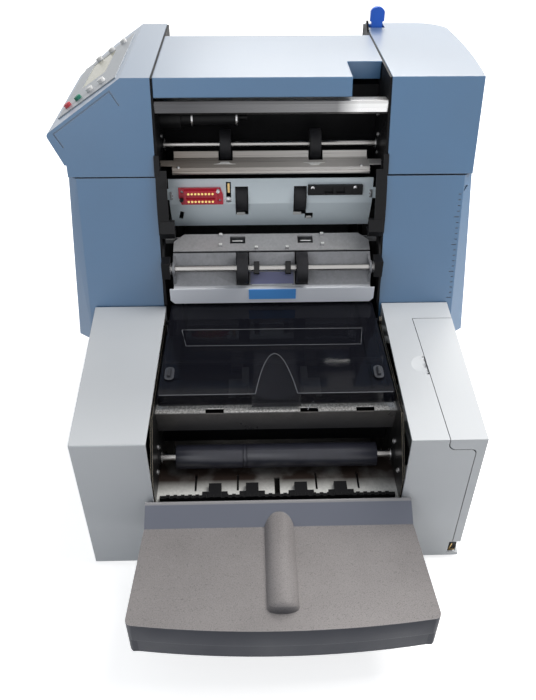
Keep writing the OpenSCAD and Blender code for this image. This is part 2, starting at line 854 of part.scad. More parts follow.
module tower_frame() {
  x0 = tower_frame_in - 1;
  x1 = tower_in + 1;
  difference() {
    across(tower_frame_in, tower_in) polygon([
      [front(frame_foot_z, 14), pan_t], [base_rear - 4, pan_t], [body_len - 1, frame_foot_z],
      [body_len - 1, tower_h - 1], [front(tower_h - 1, 1), tower_h - 1],
      [front(frame_foot_z, 1), frame_foot_z], [front(frame_foot_z, 14), frame_foot_z]]);
    for (p = concat([upper_axis, middle_axis], fold_axes)) bar(x0, x1, p, shaft_r + fit);
    for (z = [60, 200]) bar(x0, x1, [frame_window_y, z], frame_window_r);
    for (p = frame_screws) bar(x0, x1, p, frame_screw_r);
  }
}

module tower_left_frame() {
  color([0.30, 0.31, 0.33]) seat() mirror([1, 0, 0]) tower_frame();
}

module tower_right_frame() {
  color([0.30, 0.31, 0.33]) seat() {
    tower_frame();
    bar(tower_in - eps, lever_x + lever_w, lever_pivot, lever_pin_r);
    across(tower_frame_in, tower_in) polygon([
      [lever_y - 22, tower_h - 2], [lever_y - 6, tower_h - 2], [lever_y - 6, tower_h + stop_h],
      [lever_y - 11, tower_h + stop_h]]);
  }
}

// Blue tower covers

bulge_y = body_len - 117;
facet_x = tower_half - facet_w;
facet_deg = 35;

module tower_plan(g, x0) {
  intersection() {
    union() {
      translate([x0 - g, 0]) square([tower_half - x0, body_len - corner_r]);
      translate([x0 - g, 0]) square([tower_half - corner_r - x0 + g, body_len - g]);
      translate([tower_half - corner_r, body_len - corner_r]) circle(corner_r - g);
    }
    translate([tower_half - bulge_r, bulge_y]) circle(bulge_r - g);
  }
}

module tower_side(g) {
  skin = g / cos(lean_deg);
  polygon([
    [front(0, skin), 0], [body_len, 0], [body_len, tower_h - g], [front(tower_h - g, skin), tower_h - g]]);
}

module tower_block(z0, z1, g) {
  intersection() {
    translate([0, 0, z0]) linear_extrude(z1 - z0) tower_plan(g, tower_in);
    across(0, tower_w) tower_side(g);
  }
}

// Front view of the lower cover with its rounded outer corner.
module low_view(g) {
  translate([0, tower_low + low_r]) square([tower_half, tower_h]);
  translate([0, tower_low + g]) square([tower_half - low_r, low_r]);
  translate([tower_half - low_r, tower_low + low_r]) circle(low_r - g);
}

// The front edge of a lower cover: z runs up the edge, y into the cover.
module on_facet() {
  translate([facet_x, tower_y, cover_h]) rotate([-lean_deg, 0, 0]) rotate([0, 0, facet_deg]) children();
}

// Lower cover, filled, with its side leaning out towards the bottom.
module low_block(z1, g) {
  difference() {
    intersection() {
      translate([tower_half, 0, seam_z]) rotate([0, -flare_low, 0]) translate([-tower_half, 0, -seam_z])
        intersection() {
          linear_extrude(tower_h) tower_plan(g, frame_in / 2);
          along(0, body_len) low_view(g);
        }
      across(0, tower_w) tower_side(g);
      block([tower_in - g, 0, tower_low + g], [tower_w, body_len, z1]);
    }
    on_facet() block([-tower_half, -tower_half, -tower_h], [tower_half, g, tower_h]);
  }
}

module lower_cover() {
  z1 = seam_z - seam_gap / 2;
  difference() {
    low_block(z1, 0);
    low_block(z1 + 1, wall);
  }
}

module left_lower_cover() {
  color([0.36, 0.46, 0.59]) seat() mirror([1, 0, 0]) lower_cover();
}

scale_x = facet_x - 2;
scale_ticks = 20;
scale_z = 196;
scale_step = 6.6;
tick_t = 1;
tick_w = 3;
mark_z = (seam_z - cover_h) / cos(lean_deg) - 20;
mark_w = 7;

module right_lower_cover() {
  color([0.36, 0.46, 0.59]) seat() difference() {
    lower_cover();
    for (i = [0 : scale_ticks - 1]) let(z = scale_z + i * scale_step)
      block([scale_x - tick_w * (i % 5 == 0 ? 2 : 1), front(z, -1), z],
        [scale_x, front(z, tick_t), z + tick_t]);
    on_facet() along(-1, tick_t + 0.4)
      polygon([[1, mark_z], [1 + mark_w, mark_z + mark_w], [1, mark_z + mark_w]]);
  }
}

module right_upper_cover() {
  z0 = seam_z + seam_gap / 2;
  color([0.36, 0.46, 0.59]) seat() difference() {
    tower_block(z0, tower_h, 0);
    tower_block(z0 - 1, tower_h - wall, wall);
    block([lever_x - lever_gap, lever_y - 6, tower_h - wall - 1],
      [lever_x + lever_w + lever_gap, lever_y + 13, tower_h + 1]);
  }
}

// Console

console_x = tower_in + console_flat;
nose = [console_x + console_len * cos(console_deg), tower_h - console_len * sin(console_deg)];
chin = nose - [18, 33];
console_r = 25;

// The rounded nose from the chin up to the slope; its middle is where the two views below meet.
nose_arc = round_corner(chin, nose, [console_x, tower_h], nose_r);
nose_mid = 4;
slope_top = [console_x, tower_h] + 20 * dir(nose, [console_x, tower_h]);

// Front view under the console slope, down to z0.
function under_slope(x0, z0) = let(
  low = nose_arc[nose_mid] + 20 * (nose_arc[nose_mid] - nose_arc[nose_mid + 1])
) concat(
  [[x0, z0], [low[0], z0], low], [for (i = [nose_mid + 1 : 2 * nose_mid]) nose_arc[i]],
  [slope_top, [x0, slope_top[1]]]);

// Front view of the console wedge that stands out of the tower side, from its chin upwards.
function wedge_view(x0) = let(
  step = nose_arc[nose_mid] - nose_arc[nose_mid - 1],
  high = nose_arc[nose_mid] + step * (slope_top[1] - nose_arc[nose_mid][1]) / step[1]
) concat(
  [[x0, chin[1]], chin], [for (i = [0 : nose_mid - 1]) nose_arc[i]], [high, [x0, slope_top[1]]]);

module console_plan(g) {
  translate([tower_in - g, 0]) square([nose[0] - tower_in, console_rear - console_r]);
  translate([tower_in - g, 0]) square([nose[0] - console_r - tower_in + g, console_rear - g]);
  translate([nose[0] - console_r, console_rear - console_r]) circle(console_r - g);
}

module console_block(z0, g) {
  x0 = tower_in - 9 * g;
  intersection() {
    across(0, tower_w) tower_side(g);
    along(0, body_len) polygon(inset(under_slope(x0, z0 - 9 * g), g));
    union() {
      translate([0, 0, z0]) linear_extrude(tower_h) tower_plan(g, tower_in);
      intersection() {
        translate([0, 0, z0]) linear_extrude(tower_h) console_plan(g);
        along(0, body_len) polygon(inset(wedge_view(x0), g));
      }
    }
  }
}

// The console face: x runs down the slope, y along the machine, z out of the face.
module on_console() {
  mirror([1, 0, 0]) translate([console_x, 0, tower_h]) rotate([0, console_deg, 0]) children();
}

near_y = front(tower_h, 40);
far_y = console_rear - 19;
near_s = [0.30, 0.47, 0.64, 0.79];
far_s = [0.23, 0.42, 0.62];
lcd_s = console_len * 0.345;
lcd_y = front(tower_h, 87);
panel_lo = [9, front(tower_h, 16)];
panel_hi = [console_len - 12, console_rear - 6];

function near_key(i) = [near_s[i] * console_len, near_y];
function far_key(i) = [far_s[i] * console_len, far_y];

module key_holes(z0, z1) {
  for (p = concat([for (i = [0 : 3]) near_key(i)], [for (i = [0 : 2]) far_key(i)]))
    translate([p[0], p[1], z0]) cylinder(d = key_d + 2 * key_gap, h = z1 - z0);
}

// The groove on the front of the console, in the console frame.
groove_s = [17, console_len - 9.5];
groove_z = [-22, -3.5];
groove_w = 1.6;
groove_depth = 1;

module groove() {
  for (s = groove_s) block([s, 0, groove_z[0]], [s + groove_w, body_len, groove_z[1]]);
  block([groove_s[0], 0, groove_z[1] - groove_w], [groove_s[1] + groove_w, body_len, groove_z[1]]);
}

module left_upper_cover() {
  z0 = seam_z + seam_gap / 2;
  color([0.36, 0.46, 0.59]) seat() difference() {
    mirror([1, 0, 0]) difference() {
      console_block(z0, 0);
      console_block(z0 - 1, wall);
    }
    on_console() key_holes(-9, 1);
    intersection() {
      on_console() groove();
      across(-tower_w, 0) polygon([
        [front(0, -1), 0], [front(0, groove_depth), 0], [front(tower_h, groove_depth), tower_h],
        [front(tower_h, -1), tower_h]]);
    }
  }
}

module console_panel() {
  color([0.66, 0.68, 0.70]) seat() on_console() difference() {
    block([panel_lo[0], panel_lo[1], 0], [panel_hi[0], panel_hi[1], panel_t]);
    key_holes(-1, panel_t + 1);
    block([lcd_s, lcd_y, -1], [lcd_s + lcd_w, lcd_y + lcd_len, panel_t + 1]);
  }
}

module display_window() {
  color([0.70, 0.68, 0.58]) seat() on_console()
    block([lcd_s, lcd_y, 0], [lcd_s + lcd_w, lcd_y + lcd_len, panel_t * 0.7]);
}

module key(p) {
  dome = key_d * 1.4;
  seat() on_console() translate([p[0], p[1], 0]) intersection() {
    translate([0, 0, -wall]) cylinder(d = key_d, h = key_h + wall);
    translate([0, 0, key_h - dome]) sphere(dome);
  }
}

module near_key_1() {
  color([0.88, 0.88, 0.88]) key(near_key(0));
}

module near_key_2() {
  color([0.88, 0.88, 0.88]) key(near_key(1));
}

module start_key() {
  color([0.10, 0.45, 0.32]) key(near_key(2));
}

module stop_key() {
  color([0.75, 0.20, 0.25]) key(near_key(3));
}

module far_key_1() {
  color([0.88, 0.88, 0.88]) key(far_key(0));
}

module far_key_2() {
  color([0.88, 0.88, 0.88]) key(far_key(1));
}

module far_key_3() {
  color([0.88, 0.88, 0.88]) key(far_key(2));
}

// Top cover, rear panel and cross bar

module top_cover() {
  y1 = front(tower_h) + top_len;
  lip_z = tower_h - top_flange;
  x1 = tower_frame_in;
  nx = x1 - notch_w;
  ny = front(tower_h) + notch_d;
  color([0.36, 0.46, 0.59]) seat() difference() {
    across(-x1, x1) polygon([
      [front(lip_z), lip_z], [y1, lip_z], [y1, tower_h], [front(tower_h), tower_h]]);
    difference() {
      across(-x1 + wall, x1 - wall) polygon([
        [front(lip_z - 1, wall), lip_z - 1], [y1 - wall, lip_z - 1], [y1 - wall, tower_h - wall],
        [front(tower_h - wall, wall), tower_h - wall]]);
      block([nx - wall, 0, 0], [x1, ny + wall, tower_h]);
    }
    block([nx, 0, 0], [x1 + 1, ny, tower_h + 1]);
  }
}

inlet_x = -84;
inlet_z = 70;
inlet_w = 50;
inlet_h = 30;
panel_y = body_len - 14;
panel_top = tower_h - top_flange - 3;
slit_len = 90;
slit_h = 6;
slit_step = 14;
slit_z = 200;
flange_w = 4;
flange_t = 2.5;
socket = [28, 18, 20];
blade = [2, 14, 5];

module rear_panel() {
  color([0.50, 0.52, 0.55]) seat() difference() {
    across(-tower_frame_in, tower_frame_in) polygon(sheet(
      [[panel_y + 2, pan_t], [panel_y + 2, panel_top], [front(tower_h) + top_len - 12, panel_top]], 2));
    for (i = [0 : 9], x = [-slit_len - 15, 15])
      translate([x, panel_y - 1, slit_z + i * slit_step]) cube([slit_len, 4, slit_h]);
    translate([inlet_x - inlet_w / 2, panel_y - 1, inlet_z - inlet_h / 2]) cube([inlet_w, 4, inlet_h]);
  }
}

module power_inlet() {
  color([0.06, 0.06, 0.07]) seat() translate([inlet_x, panel_y, inlet_z]) {
    difference() {
      union() {
        block([-inlet_w / 2, -22, -inlet_h / 2], [inlet_w / 2, 2, inlet_h / 2]);
        block([-inlet_w / 2 - flange_w, 2, -inlet_h / 2 - flange_w],
          [inlet_w / 2 + flange_w, 2 + flange_t, inlet_h / 2 + flange_w]);
      }
      translate([-socket[0] / 2, -socket[1] + 2, -socket[2] / 2]) cube(socket + [0, flange_t + 1, 0]);
    }
    for (p = [[-7, -3], [0, 3], [7, -3]])
      translate([p[0] - blade[0] / 2, -socket[1] + 2 - eps, p[1] - blade[2] / 2]) cube(blade);
  }
}

cross_z = 416;
cross_h = 16;

module cross_bar() {
  z0 = cross_z - cross_h / 2;
  y0 = front(cross_z, 3.5);
  color([0.70, 0.71, 0.72]) seat() across(-tower_frame_in, tower_frame_in) polygon(sheet([
    [y0 + 22, z0 + cross_h - 3], [y0 + 2, z0 + cross_h], [y0, z0 + cross_h - 3], [y0, z0 + 3], [y0 + 3, z0],
    [y0 + 22, z0]], 2));
}

motor_r = 10;
motor_z = upper_z + 30;
motor_axis = [front(motor_z, 62), motor_z];
motor_x = [-108, -38];
gearbox_r = motor_r + 4;
motor_stub = 10;
board = [26, 16, 4];

module feed_motor() {
  color([0.07, 0.07, 0.08]) seat() {
    bar(-tower_frame_in, motor_x[0], motor_axis, gearbox_r);
    bar(motor_x[0] - eps, motor_x[1], motor_axis, motor_r);
    bar(motor_x[1] - eps, motor_x[1] + motor_stub, motor_axis, motor_r / 3);
    translate([motor_x[1] - board[0] / 2, motor_axis[0] - board[1] / 2, motor_z + motor_r - board[2] / 2])
      cube(board);
  }
}

back_y = fold_y - 30;
back_slot = [308, 320];

// Dark sheet behind the upper feed, with a slot that lets the sheets through to the fold rollers.
module fold_plate() {
  color([0.10, 0.10, 0.11]) seat() difference() {
    across(-tower_frame_in, tower_frame_in) polygon(sheet([
      [back_y + 12, fold_z + 24], [back_y, fold_z + 36], [back_y, panel_top - 6],
      [back_y + 12, panel_top - 2]], -sheet_t));
    block([-plate_w / 2, back_y - 1, back_slot[0]], [plate_w / 2, back_y + 3, back_slot[1]]);
  }
}

// Upper feed

module tyres(axis, x, r, w) {
  for (s = [-x, x]) difference() {
    bar(s - w / 2, s + w / 2, axis, r);
    bar(s - w, s + w, axis, shaft_r);
  }
}

module upper_shaft() {
  color([0.72, 0.73, 0.75]) seat() bar(-tower_in - 2, tower_in + 2, upper_axis, shaft_r);
}

module upper_tyres() {
  color([0.08, 0.08, 0.09]) seat() tyres(upper_axis, upper_x, upper_r, tyre_w);
}

shelf_z = upper_z - 10;
shelf_half = 118;
shelf_lip = 7;
shelf_bead_r = 2.2;
shelf_y = [front(shelf_z, 15), front(shelf_z, 45), front(shelf_z, 48)];

module upper_guide() {
  window = tyre_w / 2 + 2;
  color([0.72, 0.69, 0.65]) seat() {
    difference() {
      across(-shelf_half, shelf_half) polygon(sheet([
        [shelf_y[0], shelf_z - shelf_lip], [shelf_y[0], shelf_z], [shelf_y[1], shelf_z],
        [shelf_y[2], shelf_z + shelf_lip]], -sheet_t));
      for (s = [-upper_x, upper_x])
        block([s - window, shelf_y[1] - 9, shelf_z - shelf_lip - 2],
          [s + window, upper_axis[0], shelf_z + upper_r]);
    }
    both() block([shelf_half - eps, shelf_y[0] + 5, shelf_z],
      [tower_frame_in, shelf_y[1] - 11, shelf_z + sheet_t]);
    bar(-shelf_half, shelf_half, [shelf_y[0], shelf_z - shelf_lip + 1], shelf_bead_r);
  }
}

// Connector plate

plate_top = 331;
plate_fold = 299;
plate_low = 263;
plate_set = 2.5;
plate_y = front(plate_fold, 32.4);
plate_line = [
  [front(plate_low, 54), plate_low], [plate_y, plate_fold], [plate_y + plate_set, plate_top]];
window_half = tyre_w / 2 + 1.2;
window_z = [plate_fold - 18, plate_top - 10];
hook_x = -52;
hook_z = [plate_fold + 2, plate_top - 4];
hook_w = 6;
port_z = [plate_fold - 25, plate_fold - 16];
port_x = [43, 53];
slant_x = -plate_w / 2 + 13;
slant = [5, 12];
slant_deg = 14;
lug_z = [plate_fold + 6, plate_fold + 20];
conn_x = -86;
conn_w = 54;
conn_h = 21;
conn_z = plate_fold + 11;
conn_cut = 12;
conn_body = [40, 7, 16];
conn_flange = 3;
conn_slot = [35, 3, 5.2];
conn_row = 4.9;
screw_r = 1.8;
sensor = [67, 5, 12];
sensor_x = 78.5;
sensor_z = plate_fold + 18;
sensor_eyes = [-8, 6.5];
sensor_eye = [11, 3, 7];
sensor_screws = [-27.5, 24.5];

module connector_plate() {
  color([0.70, 0.75, 0.77]) seat() {
    difference() {
      across(-plate_w / 2, plate_w / 2) polygon(sheet(plate_line, -sheet_t));
      for (s = [-tyre_x, tyre_x])
        block([s - window_half, plate_y - 9, window_z[0]], [s + window_half, plate_y + 40, window_z[1]]);
      block([hook_x - hook_w / 2, plate_y - 9, hook_z[0]], [hook_x + hook_w / 2, plate_y + 9, hook_z[1]]);
      block([port_x[0], plate_y - 9, port_z[0]], [port_x[1], plate_y + 20, port_z[1]]);
      translate([slant_x, plate_y - 9, plate_fold - 18]) rotate([0, slant_deg, 0])
        block([-slant[0] / 2, 0, -slant[1] / 2], [slant[0] / 2, 30, slant[1] / 2]);
    }
    both() block([plate_w / 2 - eps, plate_y + 0.2, lug_z[0]],
      [tower_frame_in, plate_y + sheet_t, lug_z[1]]);
  }
}

module middle_shaft() {
  color([0.08, 0.08, 0.09]) seat() {
    bar(-tower_in - 2, tower_in + 2, middle_axis, shaft_r);
    for (s = [-tyre_x, tyre_x]) bar(s - tyre_w / 2, s + tyre_w / 2, middle_axis, middle_r);
  }
}

// A square place on the sloping upper half of the connector plate, with y out of its front.
plate_tip = atan(plate_set / (plate_top - plate_fold));

module on_plate(x, z) {
  translate([x, plate_y, plate_fold]) rotate([-plate_tip, 0, 0])
    translate([0, 0, (z - plate_fold) / cos(plate_tip)]) children();
}

pin_r = 1.4;
pin_len = 4.5;

// A round peg that stands out of the plate from depth y.
module peg(x, y, z, r, h) {
  translate([x, y, z]) rotate([90, 0, 0]) cylinder(r = r, h = h);
}

// The places of the connector pins: x and z in the connector.
pin_places = [for (i = [0 : pin_count - 1], z = [-conn_row, conn_row])
  [(i - (pin_count - 1) / 2) * pin_pitch, z]];

module dock_connector() {
  w = conn_w / 2;
  h = conn_h / 2;
  color([0.78, 0.12, 0.20]) seat() on_plate(conn_x, conn_z) difference() {
    union() {
      block([-conn_body[0] / 2, -conn_body[1], -conn_body[2] / 2], [conn_body[0] / 2, 0, conn_body[2] / 2]);
      along(-conn_flange, 0) polygon([
        [-w + 3, -h], [w, -h], [w, -h + conn_cut], [w - 3, h], [-w, h], [-w, h - conn_cut]]);
    }
    translate([-conn_slot[0] / 2, -conn_body[1] - 1, -conn_slot[2] / 2]) cube(conn_slot + [0, 1, 0]);
    for (s = [-1, 1]) peg(s * (w - 4), 1, -s * (h - 5), screw_r, conn_flange + 2);
    for (p = pin_places) peg(p[0], -conn_body[1] / 2, p[1], pin_r, conn_body[1]);
  }
}

module connector_pins() {
  color([0.85, 0.70, 0.35]) seat() on_plate(conn_x, conn_z)
    for (p = pin_places) peg(p[0], -conn_body[1] / 2, p[1], pin_r, pin_len);
}

module sensor_bar() {
  color([0.06, 0.06, 0.07]) seat() on_plate(sensor_x, sensor_z) {
    difference() {
      translate([-sensor[0] / 2, -sensor[1], -sensor[2] / 2]) cube(sensor);
      for (x = sensor_eyes)
        translate([x - sensor_eye[0] / 2, -sensor[1] - eps, -sensor_eye[2] / 2]) cube(sensor_eye);
    }
    for (x = sensor_screws) peg(x, -sensor[1] + eps, 0, screw_r + 1.2, screw_r);
  }
}

// Feed deck, jam flap and pinch rollers

deck_half = tower_frame_in - 12.5;
deck_high = [front(264, 29), 264];
deck_edge = [front(256, 1), 256];
deck_fall = (deck_high[1] - deck_edge[1]) / (deck_high[0] - deck_edge[0]);
deck_skirt = [5, 14];
deck_slot_x = 42;
deck_slot = [19, 12, 30];
deck_corner = 17;
stud_w = 4;
stud_h = 1;
// The studs on each half of the deck: x, and the distance in front of the fold.
deck_studs = [[63, 3], [63, 20], [19, 25]];
flap_fold = [front(221, -13), 221];
flap_step = 4;
lip_low = 199;
lip_half = tower_frame_in - 7.5;
lip_corner = 7;

module feed_deck() {
  color([0.66, 0.66, 0.65]) seat() {
    difference() {
      across(-deck_half, deck_half) polygon(sheet(
        [deck_high + [deck_skirt[0], -deck_skirt[1]], deck_high, deck_edge + [2, 0.5]], sheet_t));
      for (s = [-1, 1]) translate([s * deck_slot_x - deck_slot[0] / 2, deck_high[0] - 16, deck_edge[1] - 6])
        cube(deck_slot);
      for (s = [-1, 1]) translate([s * deck_half, deck_high[0], deck_high[1] - 5]) rotate([0, 0, 45])
        translate([-deck_corner / 2, -deck_corner / 2, 0]) cube([deck_corner, deck_corner, 9]);
    }
    both() block([deck_half - eps, deck_high[0] + 2.2, deck_high[1] - 13.5],
      [tower_frame_in, deck_high[0] + 4, deck_high[1] - 8]);
    both() for (p = deck_studs)
      translate([p[0] - stud_w / 2, deck_high[0] - p[1] - stud_w / 2, deck_high[1] - deck_fall * p[1] - 1])
        cube([stud_w, stud_w, sheet_t + stud_h + 1]);
  }
}

flap_ear = 3;
flap_ear_x = deck_half - flap_ear;
flap_top = deck_edge + [0, -1];
flap_run = dir(flap_fold, flap_top);
flap_out = left(flap_run);
flap_clip_x = 19;
flap_clip_w = 6;
flap_clip_h = 7;

module jam_flap() {
  lip = flap_fold + [-flap_step, -1];
  reach = (pinch_axis - flap_fold) * flap_out;
  color([0.74, 0.75, 0.76]) seat() {
    difference() {
      across(-deck_half, deck_half) polygon(sheet([flap_top, flap_fold, lip, lip + [0, -3]], sheet_t));
      for (s = [-tyre_x, tyre_x]) block(
        [s - window_half, pinch_axis[0] - 2 * pinch_r, flap_fold[1] + 1],
        [s + window_half, pinch_axis[0] + 2 * pinch_r, pinch_z + 2 * pinch_r]);
    }
    difference() {
      across(-lip_half, lip_half) polygon(sheet([lip, [lip[0], lip_low]], sheet_t));
      both() translate([lip_half, 0, lip_low]) rotate([0, 45, 0])
        block([-lip_corner / 2, 0, -lip_corner], [lip_corner / 2, body_len, lip_corner]);
    }
    both() difference() {
      across(flap_ear_x, flap_ear_x + flap_ear) union() {
        translate(pinch_axis) circle(shaft_r + 4);
        polygon([pinch_axis + [-3, -7], flap_fold + [2, 2], flap_top + [-1, -2], pinch_axis + [5, 4]]);
      }
      bar(flap_ear_x - 1, flap_ear_x + flap_ear + 1, pinch_axis, shaft_r + fit);
    }
    both() difference() {
      across(flap_clip_x - flap_clip_w / 2, flap_clip_x + flap_clip_w / 2) polygon([
        for (c = [[-1, -reach - 0.5], [1, -reach - 0.5], [1, flap_clip_h], [-1, flap_clip_h]])
          pinch_axis + flap_run * c[0] * flap_clip_h + flap_out * c[1]]);
      bar(flap_clip_x - flap_clip_w, flap_clip_x + flap_clip_w, pinch_axis, shaft_r + fit);
    }
  }
}

grip_w = 58;
grip_t = 1;

module flap_grip() {
  y = flap_fold[0] - flap_step;
  color([0.20, 0.48, 0.92]) seat()
    block([-grip_w / 2, y - grip_t, lip_low + 6], [grip_w / 2, y, flap_fold[1] - 2]);
}

module pinch_shaft() {
  color([0.78, 0.79, 0.81]) seat()
    bar(-tower_frame_in + 3.5, tower_frame_in - 3.5, pinch_axis, shaft_r);
}

module pinch_tyres() {
  color([0.07, 0.07, 0.08]) seat() tyres(pinch_axis, tyre_x, pinch_r, tyre_w);
}

// Dock rails

rail_t = 2.5;
rail_flange = 10.5;
rail_z = [278, 352];
rail_bow = 5;
rail_set = 2.6;
rail_steps = 8;
rail_block = 9;
rail_clip = 10;
rail_skin = 2.2;
spur_z = [346, 368];
hook_reach = 17;
rail_foot_z = cover_h + 5;

// A point at height p[0], with the distance p[1] behind the tower front.
function leaning(p) = [front(p[0], p[1]), p[0]];

// The bowed front line of a rail, from its top to its bottom.
rail_front = [for (i = [0 : rail_steps]) let(t = i / rail_steps, s = 2 * t - 1)
  leaning([rail_z[1] + (rail_z[0] - rail_z[1]) * t, -rail_set - rail_bow * (1 - s * s)])];
rail_tail = [for (p = [
  [268, 8], [262, -2], [252, -10], [236, -18], [rail_foot_z, -8], [rail_foot_z, 2], [236, 0], [262, 20],
  [290, 18], [354, 16]]) leaning(p)];
rail_hook = [for (p = [
  [296, -7], [284, -11], [276, -5], [276, 6], [281, 8], [281, -1], [285, -4], [296, -2]])
  leaning(p)];
rail_spur = [for (p = [
  [spur_z[0], -4], [spur_z[1], -2.4], [spur_z[1], -0.4], [spur_z[0], -0.4]]) leaning(p)];

module dock_rail() {
  x0 = tower_frame_in - rail_t;
  b = rail_block;
  difference() {
    union() {
      across(x0, tower_frame_in) polygon(concat(rail_front, rail_tail));
      across(tower_frame_in - rail_flange, tower_in) polygon(sheet(rail_front, rail_skin));
      across(tower_frame_in - hook_reach, tower_frame_in) polygon(rail_hook);
      across(x0, tower_in + 1) polygon(rail_spur);
      across(tower_frame_in - rail_clip, tower_frame_in) polygon([
        pinch_axis + [-b, -b], pinch_axis + [b, -b], pinch_axis + [b, b + 3], pinch_axis + [-b, b + 3]]);
    }
    bar(tower_frame_in - rail_clip - 1, tower_frame_in - 2, pinch_axis, shaft_r + fit);
  }
}

module left_dock_rail() {
  color([0.14, 0.14, 0.16]) seat() mirror([1, 0, 0]) dock_rail();
}

module right_dock_rail() {
  color([0.14, 0.14, 0.16]) seat() dock_rail();
}

// Fold rollers with meshing gears

gear_w = 8;
gear_x = tower_in + 2.5;
gear_pitch_r = fold_pitch / 2;
gear_m = fold_pitch / gear_teeth;
pressure = 20;
gear_base_r = gear_pitch_r * cos(pressure);
gear_tip_r = gear_pitch_r + 0.85 * gear_m;
gear_root_r = gear_pitch_r - 1.2 * gear_m;
backlash_deg = 0.5;

function inv(a) = tan(a) * 180 / PI - a;
function flank(r) = 90 / gear_teeth - backlash_deg + inv(pressure)
  - (r > gear_base_r ? inv(acos(gear_base_r / r)) : 0);
function polar(r, a) = [r * cos(a), r * sin(a)];
gear_radii = [for (i = [0 : 4]) gear_base_r + (gear_tip_r - gear_base_r) * i / 4];

module gear(turn) {
  polygon([for (k = [0 : gear_teeth - 1]) let(a = turn + 360 * k / gear_teeth) each concat(
    [polar(gear_root_r, a - flank(gear_base_r))], [for (r = gear_radii) polar(r, a - flank(r))],
    [for (i = [4 : -1 : 0]) polar(gear_radii[i], a + flank(gear_radii[i]))],
    [polar(gear_root_r, a + flank(gear_base_r))])]);
}

module fold_roller(i) {
  turn = (i % 2) * 180 / gear_teeth;
  seat() {
    bar(-gear_x - gear_w, tower_in + 2, fold_axes[i], shaft_r);
    bar(-tower_frame_in + 3, tower_frame_in - 3, fold_axes[i], fold_r);
    translate([-gear_x - gear_w, fold_axes[i][0], fold_axes[i][1]]) rotate([90, 0, 90])
      linear_extrude(gear_w) gear(turn);
  }
}

module fold_roller_low() {
  color([0.45, 0.45, 0.47]) fold_roller(0);
}

module fold_roller_mid() {
  color([0.45, 0.45, 0.47]) fold_roller(1);
}

module fold_roller_top() {
  color([0.45, 0.45, 0.47]) fold_roller(2);
}

// Release lever

lever_hub_r = 7;
lever_neck = 2;
lever_skirt = 7;

module release_lever() {
  top_z = tower_h + lever_h;
  head_r = lever_w / 2 + 1;
  middle = lever_x + lever_w / 2;
  color([0.12, 0.36, 0.88]) seat() difference() {
    union() {
      bar(lever_x, lever_x + lever_w, lever_pivot, lever_hub_r);
      intersection() {
        across(lever_x, lever_x + lever_w) polygon([
          lever_pivot + [-4, 0], lever_pivot + [4, 0], [lever_y + 3, top_z], [lever_y - 2.5, top_z]]);
        along(0, body_len) union() {
          translate([lever_x + lever_neck, 0])
            square([lever_w - 2 * lever_neck, tower_h + lever_skirt + 1]);
          translate([lever_x, tower_h + lever_skirt])
            square([lever_w, lever_h - lever_skirt - head_r + 1]);
          translate([middle, top_z - head_r]) circle(head_r);
        }
      }
    }
    bar(lever_x - 1, lever_x + lever_w + 1, lever_pivot, lever_pin_r + fit);
  }
}

base_pan();
rubber_feet();
left_side_frame();
right_side_frame();
left_base_cover();
right_base_cover();
side_door();
fluid_tank();
exit_tray();
exit_shaft();
exit_sleeve();
exit_guide();
lower_guide();
finger_bar();
transfer_shaft();
envelope_deck();
left_envelope_guide();
right_envelope_guide();
envelope_shaft();
smoked_cover();
tower_left_frame();
tower_right_frame();
left_lower_cover();
right_lower_cover();
left_upper_cover();
right_upper_cover();
top_cover();
rear_panel();
power_inlet();
cross_bar();
feed_motor();
fold_plate();
upper_shaft();
upper_tyres();
upper_guide();
connector_plate();
middle_shaft();
dock_connector();
connector_pins();
sensor_bar();
feed_deck();
jam_flap();
flap_grip();
pinch_shaft();
pinch_tyres();
left_dock_rail();
right_dock_rail();
console_panel();
display_window();
near_key_1();
near_key_2();
start_key();
stop_key();
far_key_1();
far_key_2();
far_key_3();
fold_roller_low();
fold_roller_mid();
fold_roller_top();
release_lever();
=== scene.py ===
# %% [markdown]
# # A desktop folder inserter
# The machine has a white base that seals and delivers envelopes, and a blue leaning tower that folds
# sheets. The solids come finished from CAD as a fixed frame, so this lesson is about finishes, small
# fittings, light and the camera. Nothing in the frame is moved.

import json
import math

import bmesh
import bpy
from mathutils import Matrix, Vector, noise
from mathutils.bvhtree import BVHTree

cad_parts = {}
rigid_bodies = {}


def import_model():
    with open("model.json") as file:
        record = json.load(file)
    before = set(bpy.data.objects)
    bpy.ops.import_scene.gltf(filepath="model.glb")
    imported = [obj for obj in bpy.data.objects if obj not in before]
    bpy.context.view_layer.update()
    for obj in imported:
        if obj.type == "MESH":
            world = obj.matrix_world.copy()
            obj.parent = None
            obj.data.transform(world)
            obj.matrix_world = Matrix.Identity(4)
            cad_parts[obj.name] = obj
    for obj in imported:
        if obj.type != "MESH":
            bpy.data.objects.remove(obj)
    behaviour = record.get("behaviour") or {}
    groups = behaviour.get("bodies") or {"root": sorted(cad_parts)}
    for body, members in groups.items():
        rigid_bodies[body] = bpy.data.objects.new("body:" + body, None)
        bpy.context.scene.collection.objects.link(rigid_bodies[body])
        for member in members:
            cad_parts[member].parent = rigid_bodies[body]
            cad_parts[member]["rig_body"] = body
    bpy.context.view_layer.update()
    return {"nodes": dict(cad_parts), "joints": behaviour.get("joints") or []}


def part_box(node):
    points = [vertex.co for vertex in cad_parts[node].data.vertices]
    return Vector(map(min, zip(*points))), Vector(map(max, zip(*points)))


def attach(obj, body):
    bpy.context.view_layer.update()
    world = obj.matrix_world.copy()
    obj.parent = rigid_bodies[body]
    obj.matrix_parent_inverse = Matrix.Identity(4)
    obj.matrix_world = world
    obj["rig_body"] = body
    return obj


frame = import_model()

# %% [markdown]
# ## Camera
# The place of the camera was solved from straight edges of the machine in the photograph: it stands
# high in front, a little to the left of the middle, and looks down by about 38 degrees.

